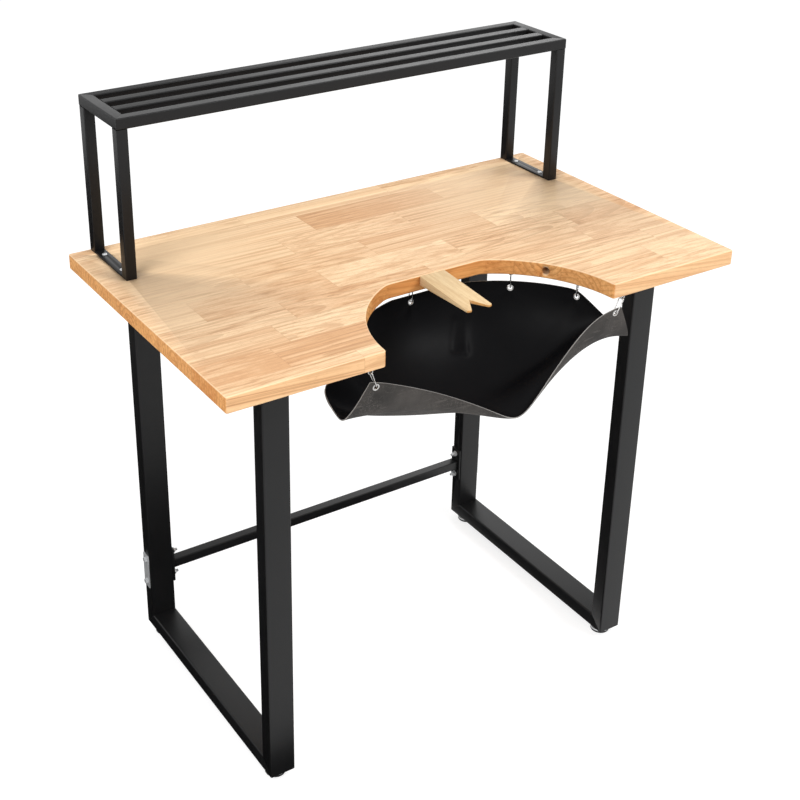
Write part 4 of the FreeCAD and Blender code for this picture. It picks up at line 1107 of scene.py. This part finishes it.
class BENCH_OT_fasteners(bpy.types.Operator):
    """Make the bolts, washers, nuts and screws"""

    bl_idname = "bench.fasteners"
    bl_label = "Fasteners"

    def execute(self, context):
        heads = [box_of(points) for points in lumps("frame_bolts")]
        reach = (heads[-1][1].x - heads[-1][0].x - BOLT_HEAD * MM) / MM
        bolt = hex_bolt(10.0, BOLT_HEAD, 3.0, reach, sizes().bolt_pitch / MM)
        spots = self.beside_leg("frame_bolts", 1, BOLT_HEAD)
        fasten("frame_bolts", "frame_bolt_set", bolt, spots, 0.5)
        rim = [(3.2, 0.15), (3.4, 0), (5.7, 0), (6.0, 0.3), (6.0, 1.3), (5.7, 1.6), (3.4, 1.6),
               (3.2, 1.45)]
        washer = turned(rim, 48, closed=True)
        fasten("frame_washers", "frame_washer_set", washer, self.beside_leg("frame_washers", -1))
        nut = hex_block(10.0, 5.0, 3.1, chamfer_both=True)
        fasten("frame_nuts", "frame_nut_set", nut, self.beside_leg("frame_nuts", -1), 0.5)
        screw = pan_head(5.0, SCREW_HEAD, 2.5, 48.0)
        fasten("top_screws", "top_screw_set", screw, self.upright("top_screws", 0, SCREW_HEAD, -UP))
        screw = pan_head(4.5, SCREW_HEAD, 2.0, 21.0)
        spots = self.upright("rack_screws", 1, -SCREW_HEAD, UP)
        fasten("rack_screws", "rack_screw_set", screw, spots)
        nut = hex_block(13.0, 6.5, 4.05, chamfer_both=True)
        spots = self.upright("foot_weld_nuts", 0, 0, UP)
        fasten("foot_weld_nuts", "weld_nut_set", nut, spots, 0.0)
        return {"FINISHED"}

    def beside_leg(self, node, way, inset=0.0):
        """Outer end and axis of each fastener that goes through the side of a leg."""
        spots = []
        for low, high in map(box_of, lumps(node)):
            side = math.copysign(1, low.x)
            face = (high.x if side > 0 else low.x) - side * inset * MM
            spots.append((centred(low, high, x=face), Vector((way * side, 0, 0))))
        return spots

    def upright(self, node, end, lift, axis):
        """Place and axis of each upright fastener, a lift above its lower or upper end."""
        return [(centred(*box, z=box[end].z + lift * MM), axis) for box in map(box_of, lumps(node))]


# Profiles of a foot's pad and metal cup, as radius and height in millimetres.
CUP_TOP = 8
PAD = ((0, 0.3), (15.5, 0.3), (16, 0), (17.2, 0), (18.4, 0.9), (19, 2.2), (19, 4.4), (18.7, 5),
       (0, 5))
CUP = ((0, 5), (18.6, 5), (19, 5.4), (19, 7.2), (18.6, 7.8), (17.6, CUP_TOP), (9, CUP_TOP),
       (7.5, CUP_TOP), (7, CUP_TOP), (6.8, CUP_TOP), (0, CUP_TOP))


class BENCH_OT_feet(bpy.types.Operator):
    """Make the four levelling feet"""

    bl_idname = "bench.feet"
    bl_label = "Levelling feet"

    def execute(self, context):
        pitch = sizes().thread_pitch
        for foot in FEET:
            low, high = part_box(f"{foot}_foot_stud")
            centre = centred(low, high, z=0)
            pad = self.moulded(f"{foot}_pad_moulding", PAD, centre, "black_plastic")
            settle(pad, f"{foot}_foot_pad")
            plate = self.moulded("plate", CUP, centre, "zinc_plated_steel")
            rod = grown("rod", mesh_of([(0, 0, 0)], []), thread_tree, Radius=4 * MM, Pitch=pitch,
                        Length=high.z - CUP_TOP * MM, Material=material("zinc_plated_steel"))
            rod.data.transform(Matrix.Translation(centre + UP * CUP_TOP * MM))
            smooth(rod.data, 60)
            settle(join(f"{foot}_stud_thread", plate, rod), f"{foot}_foot_stud")
        return {"FINISHED"}

    def moulded(self, name, profile, place, finish):
        """A piece turned about an upright axis at a place."""
        mesh = turned(profile, 72)
        mesh.transform(Matrix.Translation(place))
        smooth(mesh)
        mesh.materials.append(material(finish))
        return new_object(name, mesh)


class BENCH_OT_apron(bpy.types.Operator):
    """Hang the leather apron under the cut-out"""

    bl_idname = "bench.apron"
    bl_label = "Leather apron"

    ROWS, COLUMNS = 120, 210

    def execute(self, context):
        size = sizes()
        drape = Drape()
        middle, normal = drape.surface(self.ROWS, self.COLUMNS)
        middle = middle + normal * self.relief(middle)[..., None]
        normal = normals(middle)
        half = size.leather_thick / 2
        count = self.ROWS * self.COLUMNS
        points = np.concatenate([(middle + normal * half).reshape(-1, 3),
                                 (middle - normal * half).reshape(-1, 3)])
        faces, paints = [], []
        for row in range(self.ROWS - 1):
            for column in range(self.COLUMNS - 1):
                a = row * self.COLUMNS + column
                b, c, d = a + 1, a + self.COLUMNS + 1, a + self.COLUMNS
                faces += [(a, b, c, d), (d + count, c + count, b + count, a + count)]
                paints += [0, 1]
        edge = [(0, column) for column in range(self.COLUMNS)]
        edge += [(row, self.COLUMNS - 1) for row in range(1, self.ROWS)]
        edge += [(self.ROWS - 1, column) for column in range(self.COLUMNS - 2, -1, -1)]
        edge += [(row, 0) for row in range(self.ROWS - 2, 0, -1)]
        loop = [row * self.COLUMNS + column for row, column in edge]
        for first, second in zip(loop, loop[1:] + loop[:1]):
            faces.append((second, first, first + count, second + count))
            paints.append(2)
        mesh = mesh_of(points, faces, "apron_leather")
        for paint in ("leather", "suede", "leather_cut_edge"):
            mesh.materials.append(material(paint))
        mesh.polygons.foreach_set("material_index", paints)
        outward(mesh)
        tools = []
        for place, axis in eyelet_spots():
            tool = turned([(0, -12), (4.3, -12), (4.3, 12), (0, 12)], 40)
            turn = axis.to_track_quat("Z", "Y").to_matrix().to_4x4()
            tool.transform(Matrix.Translation(place) @ turn)
            tool.materials.append(material("leather_cut_edge"))
            tools.append(tool)
        mesh = carved(mesh, tools)
        mesh.name = "apron_leather"
        piece = new_object("apron_leather", mesh)
        smooth(mesh, 50)
        settle(piece, "apron")
        return {"FINISHED"}

    def relief(self, points):
        """Height of the puckers and ripples at each point."""
        size = sizes()
        height = np.zeros(points.shape[:2])
        for number, (place, axis) in enumerate(eyelet_spots()):
            away = points - np.array(place)
            level = Vector((axis.x, axis.y, 0)).normalized()
            beside = np.array(UP.cross(level))
            angle = np.arctan2(away @ beside, -away[..., 2])
            far = np.linalg.norm(away, axis=2)
            fade = np.exp(-(far / 0.034) ** 1.5) * (1 - np.exp(-(far / 0.009) ** 2))
            wave = np.cos(angle * 4 + number * 1.3)
            height += size.pucker_height * fade * wave * (1 + np.cos(angle)) / 2
        x, y, z = points[..., 0], points[..., 1], points[..., 2]
        depth = np.clip((Drape.RIM * MM - z) / 0.06, 0, 1)
        swell = np.sin(x * 31 + 0.8 * np.sin(y * 23)) * np.sin(y * 27 + z * 19 + 1.1)
        height += size.ripple_height * 0.6 * depth * swell
        for start, end, reach, rise in CREASES:
            start, end = np.array(start) * MM, np.array(end) * MM
            run = end - start
            share = np.clip((points - start) @ run / (run @ run), 0, 1)
            away = np.linalg.norm(points - start - share[..., None] * run, axis=2)
            height += rise * MM * np.exp(-(away / (reach * MM)) ** 2)
        return height


# Soft creases of the leather in millimetres: two ends, half width and height.
CREASES = (
    ((84, -86, 766), (56, -124, 700), 7.5, 4.0),
    ((60, -90, 745), (38, -112, 705), 9.0, -2.6),
)


class BENCH_OT_eyelets(bpy.types.Operator):
    """Press the eyelets into the leather"""

    bl_idname = "bench.eyelets"
    bl_label = "Eyelets"

    def execute(self, context):
        half = [(3.6, 1.3), (3.75, 1.6), (4.0, 1.76), (4.5, 1.78), (5.3, 1.72), (5.9, 1.56),
                (6.2, 1.35), (6.05, 1.3), (4.2, 1.3)]
        profile = [(3.6, 0)] + half + [(radius, -height) for radius, height in reversed(half)]
        ring = turned(profile, 48, closed=True)
        fasten("eyelets", "eyelet_set", ring, eyelet_spots(), 0.0)
        return {"FINISHED"}


def chain(paths):
    """A mesh of edges through the points of each path."""
    points, edges = [], []
    for path in paths:
        start = len(points)
        points += [tuple(point) for point in path]
        edges += [(start + step, start + step + 1) for step in range(len(path) - 1)]
    mesh = bpy.data.meshes.new("path")
    mesh.from_pydata(points, edges, [])
    return mesh


def wired(node, name, paths, radius):
    """Wire bent along paths, standing for a node."""
    piece = grown(name, chain(paths), wire_tree, Wire_radius=radius,
                  Material=material(SLOT_OF[node]))
    smooth(piece.data, 50)
    settle(piece, node)


class BENCH_OT_screw_eyes(bpy.types.Operator):
    """Screw the wire eyes into the underside of the benchtop"""

    bl_idname = "bench.screw_eyes"
    bl_label = "Screw eyes"

    RING_TOP, RING_MIDDLE, RING_RADIUS, NECK = 9.5 * MM, 4.91 * MM, 3.8 * MM, 5.2 * MM

    def execute(self, context):
        paths = []
        for points in lumps("screw_eyes"):
            low, high = box_of(points)
            ring = points[points[:, 2] < low.z + self.RING_TOP]
            centre = centred(low, high, z=low.z + self.RING_MIDDLE)
            flat = ring - ring.mean(0)
            _, axes = np.linalg.eigh(np.cov(flat[:, :2].T))
            beside = Vector((*axes[:, 1], 0))
            path = []
            for step in range(41):
                angle = math.radians(-84 + step * 340 / 40 + 180)
                path.append(centre + beside * self.RING_RADIUS * math.sin(angle)
                            - UP * self.RING_RADIUS * math.cos(angle))
            path += [centre + UP * self.NECK, centre + UP * (high.z - centre.z)]
            paths.append(path)
        wired("screw_eyes", "screw_eye_set", paths, 1.2 * MM)
        return {"FINISHED"}


class BENCH_OT_clips(bpy.types.Operator):
    """Bend the six wire clips that carry the apron"""

    bl_idname = "bench.clips"
    bl_label = "Wire clips"

    def execute(self, context):
        spots = eyelet_spots()
        pivots = {joint["name"]: Vector(joint["pos_m"])
                  for joint in frame["joints"] if "pos_m" in joint}
        for name in HOOK_NAMES:
            pivot = pivots[f"clip_{name}_swing"]
            eyelet, axis = nearest_spot(pivot, spots)
            along = (eyelet - pivot).normalized()
            level = Vector((axis.x, axis.y, 0))
            level = (level - along * level.dot(along)).normalized()
            paths = [self.path(pivot, along, level)]
            wired(f"hook_clip_{name}", f"clip_wire_{name}", paths, 1.0 * MM)
        return {"FINISHED"}

    def path(self, pivot, along, level):
        """A pear-shaped loop: a wide bend over the screw eye, a narrower one through the eyelet."""
        crook, belly, top, drop = 5.0 * MM, 4.4 * MM, 2.3 * MM, 18.6 * MM
        lean = math.asin((belly - crook) / drop)
        bends = ((crook, lean, math.pi - 2 * lean, 0.0),
                 (belly, math.pi - lean, math.pi + 2 * lean, drop))
        points = []
        for radius, start, turn, lower in bends:
            for step in range(29):
                angle = start + turn * step / 28
                points.append((radius * math.cos(angle), radius * math.sin(angle) - top - lower))
        start, end = Vector(points[-1]), Vector(points[0])
        gap = (end - start) * 0.48
        first, last = start + gap + (end - start) * 0.05, start + gap - (end - start) * 0.02
        points = [tuple(first)] + points + [tuple(last)]
        return [pivot - level * x - along * y for x, y in points]


class BENCH_OT_stage(bpy.types.Operator):
    """Set the floor, the lamps and the camera"""

    bl_idname = "bench.stage"
    bl_label = "Stage"

    def execute(self, context):
        scene = context.scene
        scene.view_settings.view_transform = "Standard"
        self.world(scene)
        self.floor()
        self.dark_card()
        self.lamp("key", (1.6, -1.9, 2.9), (0.1, 0.0, 0.6), 1.8, stage().key_watts)
        self.lamp("side", (-2.1, -1.1, 2.5), (-0.2, 0.0, 0.8), 1.8, stage().side_watts)
        self.lamp("rear", (2.4, 2.6, 2.4), (0.1, 0.0, 0.9), 2.8, stage().rim_watts)
        data = bpy.data.cameras.new("view")
        camera = bpy.data.objects.new("view", data)
        scene.collection.objects.link(camera)
        camera.location = (-1.29724, -1.88713, 1.86695)
        camera.rotation_euler = [math.radians(angle) for angle in (64.6, -0.05, -31.51)]
        data.lens = stage().lens
        data.sensor_width = 36.0
        data.shift_x, data.shift_y = 0.08125, -0.135
        scene.camera = camera
        return {"FINISHED"}

    def world(self, scene):
        """Even room light, and white where the camera or a shiny piece looks past the bench."""
        room = bpy.data.worlds.new("room")
        room.use_nodes = True
        scene.world = room
        nodes = Tree(room.node_tree)
        room.node_tree.nodes.clear()
        even, white = (nodes.add("ShaderNodeBackground", {"Color": (1, 1, 1, 1), "Strength": level})
                       for level in (stage().fill_light, 1.0))
        both = nodes.add("ShaderNodeMixShader",
                         {0: self.seen(nodes), 1: even.outputs[0], 2: white.outputs[0]})
        nodes.add("ShaderNodeOutputWorld", {0: both.outputs[0]})

    def floor(self):
        """A white floor that keeps the bench's shadow."""
        floor = self.plane("studio_floor", (-14.0, -14.0), (14.0, 14.0), 0)
        paint = bpy.data.materials.new("studio_floor")
        paint.use_nodes = True
        paint.node_tree.nodes.clear()
        nodes = Tree(paint.node_tree)
        lit = nodes.out("ShaderNodeBsdfDiffuse", {"Color": (0.90, 0.90, 0.90, 1)})
        shaded = nodes.out("ShaderNodeBsdfDiffuse", {"Color": (0.42, 0.42, 0.42, 1)})
        glow = nodes.out("ShaderNodeEmission", {"Color": (1, 1, 1, 1), "Strength": 0.74})
        seen = nodes.out("ShaderNodeAddShader", {0: shaded, 1: glow})
        both = nodes.out("ShaderNodeMixShader", {0: self.seen(nodes), 1: lit, 2: seen})
        nodes.add("ShaderNodeOutputMaterial", {0: both})
        floor.data.materials.append(paint)

    def dark_card(self):
        """A black card on the floor that only shiny pieces reflect, so that the coat stays deep."""
        card = self.plane("dark_card", (-3.5, -0.30), (0.34, 3.5), 2 * MM)
        paint = Finish("dark_card", Base_Color=(0.0, 0.0, 0.0), Roughness=1.0,
                       Specular_IOR_Level=0.0)
        card.data.materials.append(paint.material)
        for rays in ("camera", "shadow", "diffuse", "transmission"):
            setattr(card, f"visible_{rays}", False)

    def plane(self, name, low, high, height):
        corners = [(low[0], low[1]), (high[0], low[1]), (high[0], high[1]), (low[0], high[1])]
        return new_object(name, mesh_of([(*corner, height) for corner in corners], [(0, 1, 2, 3)]))

    def seen(self, nodes):
        """1 for what the camera sees, by itself or in a shiny or clear piece, and 0 for light."""
        path = nodes.add("ShaderNodeLightPath").outputs
        seen = nodes.most(path["Is Camera Ray"], path["Is Glossy Ray"])
        return nodes.most(seen, path["Is Transmission Ray"])

    def lamp(self, name, place, target, size, watts):
        data = bpy.data.lights.new(name, "AREA")
        data.shape = "DISK"
        data.size = size
        data.energy = watts
        lamp = bpy.data.objects.new(name, data)
        bpy.context.scene.collection.objects.link(lamp)
        lamp.location = place
        lamp.rotation_euler = (Vector(target) - Vector(place)).to_track_quat("-Z", "Y").to_euler()


OPERATORS = (
    BENCH_OT_board, BENCH_OT_pin, BENCH_OT_steel, BENCH_OT_straps, BENCH_OT_fasteners,
    BENCH_OT_feet, BENCH_OT_apron, BENCH_OT_eyelets, BENCH_OT_screw_eyes, BENCH_OT_clips,
    BENCH_OT_stage,
)


class BENCH_PT_panel(bpy.types.Panel):
    """Lists the bench's settings and pieces"""

    bl_label = "Jewelers Bench"
    bl_idname = "BENCH_PT_panel"
    bl_space_type = "VIEW_3D"
    bl_region_type = "UI"
    bl_category = "Bench"

    def draw(self, context):
        for group in (sizes(), colours(), stage()):
            column = self.layout.box().column()
            for name in group.__annotations__:
                column.prop(group, name)
        for operator in OPERATORS:
            self.layout.operator(operator.bl_idname)


CLASSES = (BenchSizes, BenchColours, BenchStage, *OPERATORS, BENCH_PT_panel)
GROUPS = {"bench_sizes": BenchSizes, "bench_colours": BenchColours, "bench_stage": BenchStage}


def register():
    for item in CLASSES:
        bpy.utils.register_class(item)
    for name, group in GROUPS.items():
        setattr(bpy.types.Scene, name, bpy.props.PointerProperty(type=group))


def unregister():
    for name in GROUPS:
        delattr(bpy.types.Scene, name)
    for item in reversed(CLASSES):
        bpy.utils.unregister_class(item)


def main():
    register()
    for operator in OPERATORS:
        group, name = operator.bl_idname.split(".")
        getattr(getattr(bpy.ops, group), name)()


if __name__ == "__main__":
    main()
